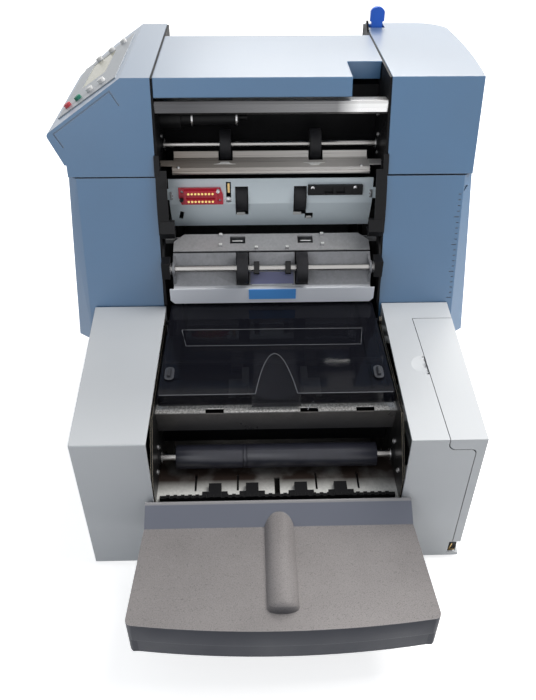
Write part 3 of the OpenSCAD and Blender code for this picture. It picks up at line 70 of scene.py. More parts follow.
# %% Camera
FRAME_WIDTH, FRAME_HEIGHT = 536, 700
FOCAL_PIXELS, SENSOR = 705.7, 36
EYE = Vector((-0.0252, -0.6916, 0.704))
PITCH, YAW, ROLL = math.radians(38.36), math.radians(1.58), math.radians(0.16)


def linked(name, data):
    piece = bpy.data.objects.new(name, data)
    bpy.context.collection.objects.link(piece)
    return piece


ahead = Vector((math.sin(YAW) * math.cos(PITCH), math.cos(YAW) * math.cos(PITCH), -math.sin(PITCH)))
level = ahead.cross(Vector((0, 0, 1))).normalized()
upright = level.cross(ahead)
right = level * math.cos(ROLL) + upright * math.sin(ROLL)
up = right.cross(ahead)

lens = bpy.data.cameras.new("photo_lens")
lens.sensor_width = SENSOR
lens.lens = FOCAL_PIXELS * SENSOR / FRAME_HEIGHT
camera = linked("photo_camera", lens)
camera.matrix_world = Matrix.Translation(EYE) @ Matrix((right, up, -ahead)).transposed().to_4x4()
bpy.context.scene.camera = camera
print("lens %.2f mm" % lens.lens)

# %% [markdown]
# ## Finishes
# Every finish is a small node tree on one shader. Object coordinates are in metres, so a scale of 900
# gives grains of about a millimetre. Edge masks come from comparing the surface normal with one that is
# rounded over a small radius: the two differ only along sharp edges. They carry wear, and on some
# finishes a painted highlight.

# %% Node helper
class Finish:
    """A material with one shader, and short calls to add and join nodes."""

    def __init__(self, name, colour, roughness, metallic=0, specular=0.5):
        self.material = bpy.data.materials.new(name)
        self.material.use_nodes = True
        self.tree = self.material.node_tree
        self.shader = self.tree.nodes["Principled BSDF"]
        self.put(Base_Color=(*colour, 1), Roughness=roughness, Metallic=metallic, Specular_IOR_Level=specular)
        self.place = self.tree.nodes.new("ShaderNodeTexCoord").outputs["Object"]

    def put(self, **values):
        for name, value in values.items():
            self.shader.inputs[name.replace("_", " ")].default_value = value

    def add(self, kind, links=None, **values):
        """A new node, with values for its properties or sockets."""
        node = self.tree.nodes.new("ShaderNode" + kind)
        for name, value in values.items():
            if name in node.bl_rna.properties:
                setattr(node, name, value)
            else:
                node.inputs[name.replace("_", " ")].default_value = value
        for name, source in (links or {}).items():
            self.tree.links.new(source, node.inputs[name])
        return node

    def noise(self, scale, detail=3, rough=0.5, where=None):
        return self.add("TexNoise", {"Vector": where or self.place}, Scale=scale, Detail=detail,
                        Roughness=rough).outputs["Fac"]

    def ramp(self, source, low, high, dark, light):
        """From dark to light, as the source goes from low to high."""
        node = self.add("ValToRGB", {"Fac": source})
        for stop, at, tone in zip(node.color_ramp.elements, (low, high), (dark, light)):
            stop.position = at
            stop.color = (*tone, 1) if isinstance(tone, tuple) else (tone, tone, tone, 1)
        return node.outputs["Color"]

    def tint(self, source, below, above):
        node = self.add("Mix", {"Factor": source}, data_type="RGBA")
        for socket, tone in ((node.inputs[6], below), (node.inputs[7], above)):
            if isinstance(tone, tuple):
                socket.default_value = (*tone, 1)
            else:
                self.tree.links.new(tone, socket)
        return node.outputs[2]

    def join(self, first, second, operation="MULTIPLY"):
        """Two values made into one between zero and one."""
        return self.add("Math", {0: first, 1: second}, operation=operation, use_clamp=True).outputs[0]

    def span(self, value, low, high):
        """Zero at the low value, and one at the high value."""
        return self.add("MapRange", {"Value": value}, From_Min=low, From_Max=high).outputs["Result"]

    def beyond(self, axis, low, high):
        """Zero below the low place along an axis, and one above the high place."""
        return self.span(self.add("SeparateXYZ", {"Vector": self.place}).outputs[axis], low, high)

    def off_middle(self, low, high):
        """Zero up to the low distance from the middle plane, and one past the high distance."""
        across = self.add("SeparateXYZ", {"Vector": self.place}).outputs["X"]
        return self.span(self.add("Math", {0: across}, operation="ABSOLUTE").outputs[0], low, high)

    def upward(self):
        """One on level ground, and zero on a wall."""
        facing = self.add("NewGeometry").outputs["Normal"]
        return self.add("SeparateXYZ", {"Vector": facing}).outputs["Z"]

    # This edge mask carries wear, and on some finishes a painted highlight.
    def sharp_edge_mask(self, radius, full=0.72, none=0.96, amount=1):
        """The given amount along sharp edges, and zero on flat ground."""
        rounded = self.add("Bevel", samples=4, Radius=radius).outputs[0]
        plain = self.add("NewGeometry").outputs["Normal"]
        turn = self.add("VectorMath", {0: rounded, 1: plain}, operation="DOT_PRODUCT")
        return self.ramp(turn.outputs["Value"], full, none, amount, 0)

    def crevice(self, reach, amount, deep=0.3, open_from=0.75):
        """The given amount deep in grooves and corners, and zero in the open."""
        open_sky = self.add("AmbientOcclusion", samples=6, Distance=reach).outputs["AO"]
        return self.ramp(open_sky, deep, open_from, amount, 0)

    def colour(self, source):
        self.tree.links.new(source, self.shader.inputs["Base Color"])

    def roughness(self, source):
        self.tree.links.new(source, self.shader.inputs["Roughness"])

    def metallic(self, source):
        self.tree.links.new(source, self.shader.inputs["Metallic"])

    def bump(self, height, strength, depth):
        node = self.add("Bump", {"Height": height}, Strength=strength, Distance=depth)
        self.tree.links.new(node.outputs["Normal"], self.shader.inputs["Normal"])


def dress(finish, *names):
    """Gives a finish to CAD nodes or to new pieces."""
    for name in names:
        piece = frame["nodes"][name] if isinstance(name, str) else name
        piece.data.materials.clear()
        piece.data.materials.append(finish.material)


def shade(colour, factor):
    return tuple(min(1, c * factor) for c in colour)


# %% [markdown]
# ## Stage and light
# The machine stands in a plain white studio. The floor is pale paper with a little light of its own for
# the rays that are looked along, so it reads as white and still darkens where the machine shades it.
# The world is white for the same rays.

# %% World and floor
WHITE, DAYLIGHT, PAPER = (1, 1, 1), (0.88, 0.93, 1), (0.8, 0.8, 0.8)
SKY_STRENGTH, WHITE_STRENGTH, PAPER_GLOW = 0.3, 1, 0.72
FLOOR_SIZE, PAPER_ROUGHNESS = 14, 0.9


def looked_along(tree):
    """One for rays from the camera, from mirrors and through clear parts, and else zero."""
    path = tree.nodes.new("ShaderNodeLightPath")
    total = path.outputs["Is Camera Ray"]
    for kind in ("Is Glossy Ray", "Is Transmission Ray"):
        either = tree.nodes.new("ShaderNodeMath")
        either.operation = "MAXIMUM"
        tree.links.new(total, either.inputs[0])
        tree.links.new(path.outputs[kind], either.inputs[1])
        total = either.outputs[0]
    return total


world = bpy.data.worlds.new("studio")
bpy.context.scene.world = world
world.use_nodes = True
sky = world.node_tree
fill, white = sky.nodes["Background"], sky.nodes.new("ShaderNodeBackground")
either_sky = sky.nodes.new("ShaderNodeMixShader")
sky.links.new(looked_along(sky), either_sky.inputs[0])
for socket, light, tone, strength in ((1, fill, DAYLIGHT, SKY_STRENGTH), (2, white, WHITE, WHITE_STRENGTH)):
    light.inputs["Color"].default_value = (*tone, 1)
    light.inputs["Strength"].default_value = strength
    sky.links.new(light.outputs[0], either_sky.inputs[socket])
sky.links.new(either_sky.outputs[0], sky.nodes["World Output"].inputs[0])

bpy.ops.mesh.primitive_plane_add(size=FLOOR_SIZE, location=(0, 0, 0))
floor = bpy.context.object
floor.name = "floor"
paper = Finish("studio_paper", PAPER, PAPER_ROUGHNESS)
paper.put(Emission_Color=(*WHITE, 1))
glow = paper.add("Math", {0: looked_along(paper.tree)}, operation="MULTIPLY")
glow.inputs[1].default_value = PAPER_GLOW
paper.tree.links.new(glow.outputs[0], paper.shader.inputs["Emission Strength"])
dress(paper, floor)
print("studio and floor")

# %% [markdown]
# One wide lamp hangs above at the right. A second stands high behind, because the flat tops throw a pale
# sheen towards the camera, and a weak one fills in from the front. The one above is kept out of
# reflections, or it would be a white patch in every smooth part.

# %% Lamps
WARM, COOL = (1, 0.98, 0.95), (0.93, 0.96, 1)


def soft_lamp(name, place, aim, width, height, watts, tint):
    lamp = bpy.data.lights.new(name, "AREA")
    lamp.shape, lamp.size, lamp.size_y = "RECTANGLE", width, height
    lamp.energy, lamp.color = watts, tint
    holder = linked(name, lamp)
    holder.location = place
    holder.rotation_mode = "QUATERNION"
    holder.rotation_quaternion = (Vector(aim) - Vector(place)).to_track_quat("-Z", "Y")
    return holder


overhead = soft_lamp("ceiling_lamp", (0.95, 0.15, 1.75), (0.15, 0, 0.2), 1.2, 1.2, watts=29, tint=WARM)
overhead.visible_glossy = False
soft_lamp("back_lamp", (0.6, 1.8, 1.75), (0.1, 0.15, 0.42), 1.9, 0.8, watts=38, tint=WARM)
soft_lamp("front_lamp", (-1.2, -2.1, 1.7), (0, 0, 0.25), 1.3, 1.3, watts=9.5, tint=COOL)
bpy.context.scene.view_settings.view_transform = "Standard"
print("three lamps")

# %% [markdown]
# ## Moulded covers
# The covers are injection-moulded plastic with a fine spark-eroded texture, a little soft mottling from
# handling, and a low even gloss. Modelled grain would cost millions of faces, so it is bump only. The
# mottling moves colour and roughness together. Sharp edges are painted paler, partly rubbing and partly a
# painted highlight, and grooves and seams are painted darker where little light reaches, a painted shade.
# Where the blue faces up it is painted a paler grey, a painted sheen.

# %% Moulded plastics
PALE_EDGE_WIDTH, GROOVE_REACH, GROOVE_SHADE_FACTOR = 0.0012, 0.004, 0.12
PALE_EDGE_TONE, PALE_EDGE_SHARE = 0.75, 0.35


def moulded(name, colour, roughness, grain=1400, depth=0.00006, mottling=0.08, specular=0.5, pale_edge=0, groove_shade=0):
    plastic = Finish(name, colour, roughness, specular=specular)
    cloud = plastic.noise(7, detail=4)
    tone = plastic.ramp(cloud, 0.3, 0.7, shade(colour, 1 - mottling), shade(colour, 1 + mottling))
    # Paler sharp edges: partly rubbing, partly a painted highlight.
    if pale_edge:
        pale = tuple(c + (PALE_EDGE_TONE - c) * PALE_EDGE_SHARE for c in colour)
        tone = plastic.tint(plastic.sharp_edge_mask(PALE_EDGE_WIDTH, amount=pale_edge), tone, pale)
    # Ambient occlusion paints grooves, seams and corners darker: a painted shade.
    if groove_shade:
        tone = plastic.tint(plastic.crevice(GROOVE_REACH, groove_shade), tone, shade(colour, GROOVE_SHADE_FACTOR))
    plastic.tone = tone
    plastic.colour(tone)
    plastic.roughness(plastic.ramp(cloud, 0.25, 0.75, roughness - 0.05, roughness + 0.06))
    plastic.bump(plastic.noise(grain, detail=2), 0.5, depth)
    return plastic


# Faces turned up are painted a paler grey: a painted sheen.
top_sheen_grey, sheen_from, sheen_full, sheen_amount = (0.19, 0.185, 0.175), 0.6, 0.95, 0.5
blue = moulded("blue_shell", (0.056, 0.166, 0.325), 0.33, mottling=0.05, specular=0.9, pale_edge=0.5, groove_shade=0.8)
top_sheen = blue.ramp(blue.upward(), sheen_from, sheen_full, 0, sheen_amount)
blue.colour(blue.tint(top_sheen, blue.tone, top_sheen_grey))
blue.put(Coat_Weight=0.7, Coat_Roughness=0.3)
tower_covers = ("left_lower_cover", "right_lower_cover", "left_upper_cover", "right_upper_cover", "top_cover")
dress(blue, *tower_covers)
dress(moulded("white_shell", (0.57, 0.59, 0.61), 0.44, mottling=0.025, pale_edge=0.35, groove_shade=0.6),
      "left_base_cover", "right_base_cover", "side_door")
dress(moulded("black_moulding", (0.008, 0.008, 0.009), 0.45, grain=900, specular=0.2, pale_edge=0.06), "finger_bar",
      "transfer_shaft", "power_inlet", "feed_motor", "sensor_bar", "left_dock_rail", "right_dock_rail")
pale_moulding = moulded("pale_moulding", (0.5, 0.53, 0.55), 0.4)
dress(pale_moulding, "left_envelope_guide", "right_envelope_guide")
dress(moulded("tank_moulding", (0.62, 0.65, 0.62), 0.35), "fluid_tank")
print("plastic covers dressed")

# %% [markdown]
# The exit tray is a coarser structured foam moulding. Its top is sprinkled with very fine pale and dark
# specks. The sloping lip behind is painted a bluer grey, a painted shade with a painted reflection, and
# its rim a paler grey, a painted highlight. Faces that do not lie flat, like the smooth skirt at the front,
# are painted dark grey, a painted shade. One finish does it all by place and facing, so no seams are
# needed. The ridge keeps the tone of the top where it stands clear of the plane in which the lip slopes.

# %% Exit tray
tray_grey, pale_speck, dark_speck = (0.268, 0.25, 0.247), (0.36, 0.34, 0.33), (0.06, 0.06, 0.065)
tray = Finish("tray_speckle", tray_grey, 0.5, specular=0.25)
specks = tray.noise(1150, detail=2, rough=0.7)
cloud = tray.noise(8, detail=4, rough=0.6)
mottled = tray.ramp(cloud, 0.3, 0.7, shade(tray_grey, 0.88), shade(tray_grey, 1.12))
sprinkled = tray.tint(tray.ramp(specks, 0.56, 0.7, 0, 0.6), mottled, pale_speck)
sprinkled = tray.tint(tray.ramp(specks, 0.32, 0.45, 0.6, 0), sprinkled, dark_speck)
tray.roughness(tray.ramp(tray.noise(12, detail=4), 0.3, 0.7, 0.42, 0.56))
tray.bump(tray.noise(1300), 0.6, 0.0001)

# The lip's bluer grey is a painted shade and reflection; the rim's paler grey is a painted highlight.
lip_shade_blue, rim_highlight_grey = (0.178, 0.19, 0.232), (0.33, 0.325, 0.335)
skirt_shade_grey, rubbed_grey = (0.027, 0.03, 0.043), (0.27, 0.27, 0.28)
lip_fold, lip_blur, rim_fold, rim_blur = -0.225, 0.0004, -0.2073, 0.0003
ridge_half, flank_blur, nose_tip, nose_root = 0.017, 0.0005, -0.3345, -0.3235
lip_slope, lip_height, height_blur = 0.95, 0.31125, 0.0002

over_lip = tray.add("VectorMath", {0: tray.place}, operation="DOT_PRODUCT")
over_lip.inputs[1].default_value = (0, -lip_slope, 1)
clear_of_lip = tray.span(over_lip.outputs["Value"], lip_height - height_blur, lip_height + height_blur)
inside_flanks = tray.off_middle(ridge_half + flank_blur, ridge_half - flank_blur)
on_ridge = tray.join(tray.join(inside_flanks, tray.beyond("Y", nose_tip, nose_root)), clear_of_lip)
on_lip = tray.join(tray.beyond("Y", lip_fold - lip_blur, lip_fold + lip_blur), on_ridge, "SUBTRACT")
on_rim = tray.beyond("Y", rim_fold - rim_blur, rim_fold + rim_blur)
top_tone = tray.tint(on_lip, sprinkled, tray.tint(on_rim, lip_shade_blue, rim_highlight_grey))
# Faces that do not lie flat get the dark skirt grey: a painted shade.
lying = tray.join(tray.ramp(tray.upward(), 0.3, 0.6, 0, 1), on_ridge, "MAXIMUM")
tray_tone = tray.tint(lying, skirt_shade_grey, top_tone)
tray.colour(tray.tint(tray.sharp_edge_mask(0.002, amount=0.35), tray_tone, rubbed_grey))
dress(tray, "exit_tray")
print("tray dressed")

# %% [markdown]
# ## Metals
# The machine uses zinc-coated sheet with a faint crystal pattern, ground shafts, dark coated frames and a
# pale painted plate. Crystals come from small Voronoi cells; grinding marks come from a noise stretched
# along X. Handling leaves grey stains, and cut edges stay bright.

# %% Sheet metal and ground steel
def zinc_sheet(name, colour, roughness, crystals=420, wear=0.12, metallic=0.85, edge=0.4, specular=0.5):
    zinc = Finish(name, colour, roughness, metallic, specular=specular)
    cells = zinc.add("TexVoronoi", {"Vector": zinc.place}, Scale=crystals).outputs["Color"]
    grey = zinc.add("RGBToBW", {"Color": cells}).outputs[0]
    stain = zinc.noise(22, detail=5, rough=0.65)
    tone = zinc.ramp(grey, 0.1, 0.9, shade(colour, 0.93), shade(colour, 1.06))
    stained = zinc.tint(zinc.ramp(stain, 0.5, 0.74, 0, wear * 4), tone, shade(colour, 0.6))
    zinc.tone = zinc.tint(zinc.sharp_edge_mask(0.0005, amount=edge), stained, shade(colour, 1.5))
    zinc.colour(zinc.tone)
    zinc.roughness(zinc.ramp(stain, 0.3, 0.7, roughness - 0.08, roughness + 0.14))
    zinc.bump(zinc.noise(300, detail=4), 0.15, 0.00008)
    return zinc


def ground_steel(name, colour, roughness, along=(6, 900, 900), metallic=1):
    steel = Finish(name, colour, roughness, metallic)
    stretched = steel.add("Mapping", {"Vector": steel.place}, Scale=along).outputs[0]
    lines = steel.noise(1, rough=0.6, where=stretched)
    steel.tone = steel.ramp(lines, 0.3, 0.7, shade(colour, 0.8), shade(colour, 1.1))
    steel.colour(steel.tone)
    steel.roughness(steel.ramp(lines, 0.3, 0.7, roughness - 0.06, roughness + 0.1))
    steel.bump(lines, 0.12, 0.00004)
    return steel


dress(zinc_sheet("pale_zinc", (0.42, 0.42, 0.43), 0.46, metallic=0.45), "feed_deck")
dress(zinc_sheet("dark_steel", (0.009, 0.009, 0.01), 0.5, metallic=0.1, edge=0.1, specular=0.12),
      "tower_left_frame", "tower_right_frame", "envelope_deck", "fold_plate")
dress(ground_steel("bright_steel", (0.46, 0.45, 0.44), 0.26), "exit_shaft", "upper_shaft", "pinch_shaft")
dress(ground_steel("grey_steel", (0.14, 0.14, 0.145), 0.28), "envelope_shaft", "fold_roller_low",
      "fold_roller_mid", "fold_roller_top")
dress(moulded("painted_plate", (0.82, 0.91, 0.95), 0.3, mottling=0.04, depth=0.00002, pale_edge=0.4),
      "connector_plate")
print("plain metals dressed")

# %% [markdown]
# Some metal changes from place to place. The inside of the pan is painted nearly black, a painted shade.
# The standoffs outside the dark side frames are white plastic, so that finish changes where the plate
# ends, and the frames' edges are painted a bright brass, partly the cut edge and partly a painted
# highlight. The upper guide is browner to the left. The bar under the top cover is painted dark to the
# left, a painted shade, and near white at its right end, a painted highlight.

# %% Pan, side frames, upper guide and bar
zinc_grey, pan_shade, pan_middle, pan_blur = (0.3, 0.305, 0.315), (0.03, 0.029, 0.028), 0.0071, 0.0005
dress(zinc_sheet("zinc_frame", zinc_grey, 0.4, wear=0.05), "rear_panel")
pan = zinc_sheet("pan_steel", zinc_grey, 0.4, wear=0.05)
# The inside of the pan is painted nearly black: a painted shade.
pan_inside = pan.beyond("Z", pan_middle - pan_blur, pan_middle + pan_blur)
pan.colour(pan.tint(pan_inside, pan.tone, pan_shade))
dress(pan, "base_pan")

side_metal, plate_thickness, edge_width = 0.85, 0.0025, 0.0013
edge_brass_and_glint, standoff_white = (0.86, 0.76, 0.58), (0.72, 0.73, 0.72)
plate = zinc_sheet("side_steel", (0.046, 0.046, 0.048), 0.36, wear=0.2, metallic=side_metal, edge=0)
plate_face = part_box("right_side_frame")[0].x + plate_thickness
on_standoff = plate.off_middle(plate_face + 0.0002, plate_face + 0.0005)
# Bright brass edges: partly the cut edge, partly a painted highlight.
edged = plate.tint(plate.sharp_edge_mask(edge_width), plate.tone, edge_brass_and_glint)
plate.colour(plate.tint(on_standoff, edged, standoff_white))
plate.metallic(plate.ramp(on_standoff, 0, 1, side_metal, 0))
dress(plate, "left_side_frame", "right_side_frame")

left_brown, bar_left_shade, bar_right_highlight = (0.27, 0.235, 0.205), (0.085, 0.085, 0.09), (0.72, 0.72, 0.72)
dull = ground_steel("dull_steel", (0.56, 0.54, 0.52), 0.3, metallic=0.35)
dull.colour(dull.tint(dull.beyond("X", -0.11, 0.05), left_brown, dull.tone))
# The bar is painted dark to the left, a painted shade, and near white at its right end, a painted highlight.
bar = ground_steel("bar_steel", (0.19, 0.19, 0.195), 0.28)
bar_right = bar.tint(bar.beyond("X", 0.075, 0.1), bar.tone, bar_right_highlight)
bar.colour(bar.tint(bar.beyond("X", -0.1, 0.05), bar_left_shade, bar_right))
dress(dull, "upper_guide")
dress(bar, "cross_bar")
print("changing metals dressed")

# %% [markdown]
# Three sheets change along the way the paper goes. The lip of the jam flap is painted near white and not
# metallic, a painted light. Behind its clean front edge, under the roller, the lower guide is painted brown
# and black, partly rubber dust and partly the roller's painted shade. The exit guide has a pale top edge
# with lint on it, and its face gets darker downwards. Each change follows the place on the piece, so it
# stays put from any side.

# %% Sheets that change along the way
flap_lit_white, flap_metal, flap_fold, flap_blur = (0.9, 0.92, 0.97), 0.3, 0.226, 0.001
flap = zinc_sheet("flap_zinc", (0.22, 0.225, 0.24), 0.44, metallic=flap_metal)
# Below the fold the lip is painted near white and not metallic: a painted light.
above_lip = flap.beyond("Z", flap_fold - flap_blur, flap_fold + flap_blur)
flap.colour(flap.tint(above_lip, flap_lit_white, flap.tone))
flap.metallic(flap.ramp(above_lip, 0, 1, 0, flap_metal))
dress(flap, "jam_flap")

dust_and_shade_brown, dark_band_start, dark_band_full = (0.03, 0.02, 0.016), 0.012, 0.03
guide_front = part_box("lower_guide")[0].y
guide = zinc_sheet("guide_zinc", (0.8, 0.8, 0.77), 0.44, wear=0.2, metallic=0.3)
# Brown and black behind the front edge: partly rubber dust, partly the roller's painted shade.
behind_edge = guide.beyond("Y", guide_front + dark_band_start, guide_front + dark_band_full)
patches = guide.ramp(guide.noise(30, detail=4), 0.2, 0.5, 0.75, 1)
guide.colour(guide.tint(guide.join(behind_edge, patches), guide.tone, dust_and_shade_brown))
dress(guide, "lower_guide")

low_grey, lint_grey, lint_white = (0.11, 0.107, 0.11), (0.5, 0.49, 0.47), (0.95, 0.94, 0.92)
guide_low, guide_top = (corner.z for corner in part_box("exit_guide"))
lint_start, lint_full = guide_top - 0.003, guide_top - 0.001
worn = zinc_sheet("worn_zinc", (0.2, 0.19, 0.18), 0.33, wear=0.2, metallic=0.5)
face = worn.tint(worn.beyond("Z", guide_low, lint_start), low_grey, worn.tone)
lint = worn.ramp(worn.noise(420, detail=4, rough=0.7), 0.4, 0.62, lint_grey, lint_white)
worn.colour(worn.tint(worn.beyond("Z", lint_start, lint_full), face, lint))
dress(worn, "exit_guide")
print("three sheets dressed")

# %% [markdown]
# ## Rubber, smoked plastic and small colours
# Rubber is nearly black and matt, but the sleeve of the exit roller is worn smooth. The smoked cover is a
# dark clear moulding: a dark base with partial alpha lets the bay show dimly, and a smooth surface keeps
# the reflections crisp, with a few wiped patches where the gloss is lower. Fingers have dulled the scoop
# in front. Glass with refraction would be truer, but it is slow and noisy in a thin sheet.

# %% Rubber and smoked cover
def rubber(name, colour, roughness=0.62, dusty=1.7, specular=0.3):
    matt = Finish(name, colour, roughness, specular=specular)
    dust = matt.noise(60, detail=4)
    matt.colour(matt.ramp(dust, 0.35, 0.75, shade(colour, 0.85), shade(colour, dusty)))
    matt.bump(matt.noise(1200, detail=2), 0.4, 0.00006)
    return matt


tyre_rubber = rubber("tyre_rubber", (0.013, 0.013, 0.015))
dress(tyre_rubber, "upper_tyres", "middle_shaft", "pinch_tyres", "rubber_feet")
dress(rubber("sleeve_rubber", (0.022, 0.023, 0.034), 0.38, dusty=1.15, specular=0.6), "exit_sleeve")

scoop_half, scoop_rear, dulled, cover_alpha = 0.024, -0.053, (0.42, 0.42, 0.42), 0.66
smoked = Finish("smoked_plastic", (0.01, 0.0105, 0.015), 0.05, specular=0.2)
in_scoop = smoked.join(smoked.off_middle(scoop_half + 0.002, scoop_half - 0.002),
                       smoked.beyond("Y", scoop_rear + 0.003, scoop_rear - 0.003))
wiped = smoked.ramp(smoked.noise(14), 0.35, 0.75, 0.035, 0.11)
smoked.roughness(smoked.tint(in_scoop, wiped, dulled))
smoked.put(Alpha=cover_alpha)
dress(smoked, "smoked_cover")
print("rubber and smoked cover dressed")

# %% [markdown]
# The small coloured parts are plain mouldings, so a table of colour, roughness and mottling is enough for
# them. Only the connector's pins are gold, which is ground steel with another colour and a short grain.

# %% Small colours
small_mouldings = [
    ("red_moulding", (0.56, 0.012, 0.04), 0.32, 0.08, ["dock_connector"]),
    ("grip_blue", (0.12, 0.43, 1), 0.35, 0.04, ["flap_grip"]),
    ("lever_blue", (0.022, 0.145, 0.72), 0.3, 0.15, ["release_lever"]),
    ("panel_silver", (0.3, 0.325, 0.35), 0.34, 0.04, ["console_panel"]),
    ("display_face", (0.4, 0.39, 0.3), 0.2, 0.05, ["display_window"]),
    ("key_white", (0.66, 0.66, 0.66), 0.22, 0.08,
     ["near_key_1", "near_key_2", "far_key_1", "far_key_2", "far_key_3"]),
    ("key_green", (0.02, 0.2, 0.13), 0.25, 0.08, ["start_key"]),
    ("key_red", (0.55, 0.06, 0.08), 0.25, 0.08, ["stop_key"])]
for name, colour, roughness, mottling, nodes in small_mouldings:
    dress(moulded(name, colour, roughness, mottling=mottling), *nodes)
dress(ground_steel("gold_pins", (0.85, 0.62, 0.22), 0.25, along=(400, 400, 400)), "connector_pins")
print(len(small_mouldings), "small colours and gold pins")

# %% [markdown]
# ## Softened edges
# No moulding or folded sheet has a knife edge. The frame's own meshes stay as they are: a weld joins the
# seams between faces and a small bevel breaks the sharp edges, both as modifiers.

# %% Edge modifiers
SEAM, SHARP = 0.00001, math.radians(32)


def soften(width, *names, segments=2):
    for name in names:
        piece = frame["nodes"][name]
        weld = piece.modifiers.new("join_faces", "WELD")
        weld.merge_threshold = SEAM
        edge = piece.modifiers.new("soft_edge", "BEVEL")
        edge.width, edge.segments, edge.limit_method = width, segments, "ANGLE"
        edge.angle_limit = SHARP
        edge.harden_normals = edge.use_clamp_overlap = True


soften(0.0016, *tower_covers)
soften(0.0018, "left_base_cover", segments=3)
soften(0.0009, "right_base_cover", "side_door", segments=3)
soften(0.0026, "exit_tray", segments=3)
soften(0.0004, "feed_deck", "jam_flap", "connector_plate", "upper_guide", "exit_guide", "cross_bar",
       "flap_grip")
soften(0.0006, "smoked_cover", "left_dock_rail", "right_dock_rail", "dock_connector", "sensor_bar",
       "exit_sleeve", "upper_tyres", "pinch_tyres", "middle_shaft", "release_lever")
print("edges softened")

# %% [markdown]
# ## Small fittings
# Screws, clips, bushes and springs sit where the photograph shows them. A ray from the camera through a
# picture point meets the CAD piece that carries the fitting. It gives the spot and the way the surface
# faces there, so the fitting sits right from any side.

# %% Finding a spot
SIDES = ((-1, "left"), (1, "right"))
ACROSS, DOWN, FORWARD, FAR = Vector((1, 0, 0)), Vector((0, 0, -1)), Vector((0, -1, 0)), 1
grids = {}


def meet(node, start, along):
    """Where a ray meets a CAD piece, and the way the piece faces there."""
    if node not in grids:
        grids[node] = BVHTree.FromObject(frame["nodes"][node], bpy.context.evaluated_depsgraph_get())
    spot, facing, _, _ = grids[node].ray_cast(Vector(start), along)
    return spot, (-facing if facing.dot(along) > 0 else facing)


def sight(column, row):
    """The way the camera looks through a picture point."""
    away = right * (column - FRAME_WIDTH / 2) - up * (row - FRAME_HEIGHT / 2)
    return (ahead * FOCAL_PIXELS + away).normalized()


def spot_on(node, column, row, aside=0):
    """The spot of a CAD piece behind a picture point. Over a hole, the face aside is used."""
    level_spot, facing = meet(node, EYE, sight(column + aside, row))
    along = sight(column, row)
    return EYE + along * ((level_spot - EYE).dot(facing) / along.dot(facing)), facing


def short(vector):
    return [round(v, 4) for v in vector]


pivot = {joint["name"]: Vector(joint["pos_m"]) for joint in frame["joints"] if "pos_m" in joint}
deck_point = (272, 245)
print("feed deck at", short(spot_on("feed_deck", *deck_point)[0]))

# %% [markdown]
# Nearly all of these pieces come from a lathe, from cut sheet or from bent wire, so three helpers make them.

# %% Lathe, cut sheet and wire
def as_piece(name, shape, crease=35):
    """Mesh code as an object with smooth faces and crisp edges."""
    bmesh.ops.recalc_face_normals(shape, faces=shape.faces)
    mesh = bpy.data.meshes.new(name)
    shape.to_mesh(mesh)
    shape.free()
    mesh.shade_smooth()
    mesh.set_sharp_from_angle(angle=math.radians(crease))
    return linked(name, mesh)


def skin(shape, loops, closed=True):
    """Faces between each loop of points and the next."""
    for near, far in zip(loops, loops[1:]):
        for k in range(0 if closed else 1, len(near)):
            shape.faces.new((near[k], near[k - 1], far[k - 1], far[k]))


def arc(radius, start, end, count):
    """Points on a circle, by degrees."""
    turns = [math.radians(start + (end - start) * k / (count - 1)) for k in range(count)]
    return [(radius * math.cos(turn), radius * math.sin(turn)) for turn in turns]


def rounded(width, length, radius, count=5):
    """The outline of a rectangle with round corners."""
    corners = [(1, 1, 0), (-1, 1, 90), (-1, -1, 180), (1, -1, 270)]
    return [(sx * (width / 2 - radius) + x, sy * (length / 2 - radius) + y)
            for sx, sy, turn in corners for x, y in arc(radius, turn, turn + 90, count)]


def turned(name, profile, sides=32, ring=False):
    """A lathe piece about Z. The profile lists radius and height, and a ring closes it."""
    shape = bmesh.new()
    rims = [[shape.verts.new((x, y, height)) for x, y in arc(radius, 0, 360, sides + 1)[:-1]]
            for radius, height in profile]
    skin(shape, rims + rims[:1] if ring else rims)
    if not ring:
        shape.faces.new(rims[0])
        shape.faces.new(rims[-1])
    return as_piece(name, shape)


def cut_sheet(name, outline, thickness, edge=0.0003):
    """An outline cut from flat sheet, with broken edges."""
    shape = bmesh.new()
    low, top = ([shape.verts.new((x, y, z)) for x, y in outline] for z in (0, thickness))
    shape.faces.new(low)
    shape.faces.new(top)
    skin(shape, (low, top))
    piece = as_piece(name, shape)
    rim = piece.modifiers.new("broken_edge", "BEVEL")
    rim.width, rim.segments, rim.limit_method = edge, 2, "ANGLE"
    return piece


def wire(name, points, thickness):
    """A bent round wire, kept as a mesh."""
    line = bpy.data.curves.new(name, "CURVE")
    line.dimensions, line.bevel_depth, line.bevel_resolution = "3D", thickness / 2, 3
    line.use_fill_caps = True
    strand = line.splines.new("POLY")
    strand.points.add(len(points) - 1)
    for knot, place in zip(strand.points, points):
        knot.co = (*place, 1)
    bent = bpy.data.objects.new(name, line)
    mesh = bpy.data.meshes.new_from_object(bent)
    bpy.data.objects.remove(bent)
    return linked(name, mesh)


def fasten(piece, node, place, facing, finish, slot, spin=0, sink=0):
    """Sets a piece on a CAD piece, with its Z axis along the facing, and dresses it."""
    stand = facing.to_track_quat("Z", "Y").to_matrix().to_4x4()
    piece.matrix_world = Matrix.Translation(place - facing * sink) @ stand @ Matrix.Rotation(spin, 4, "Z")
    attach(piece, frame["nodes"][node]["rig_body"])
    dress(finish, piece)


def fix(piece, node, point, finish, slot, aside=0, **turned_or_sunk):
    """Fastens a piece to a CAD piece at a picture point."""
    fasten(piece, node, *spot_on(node, *point, aside), finish, slot, **turned_or_sunk)


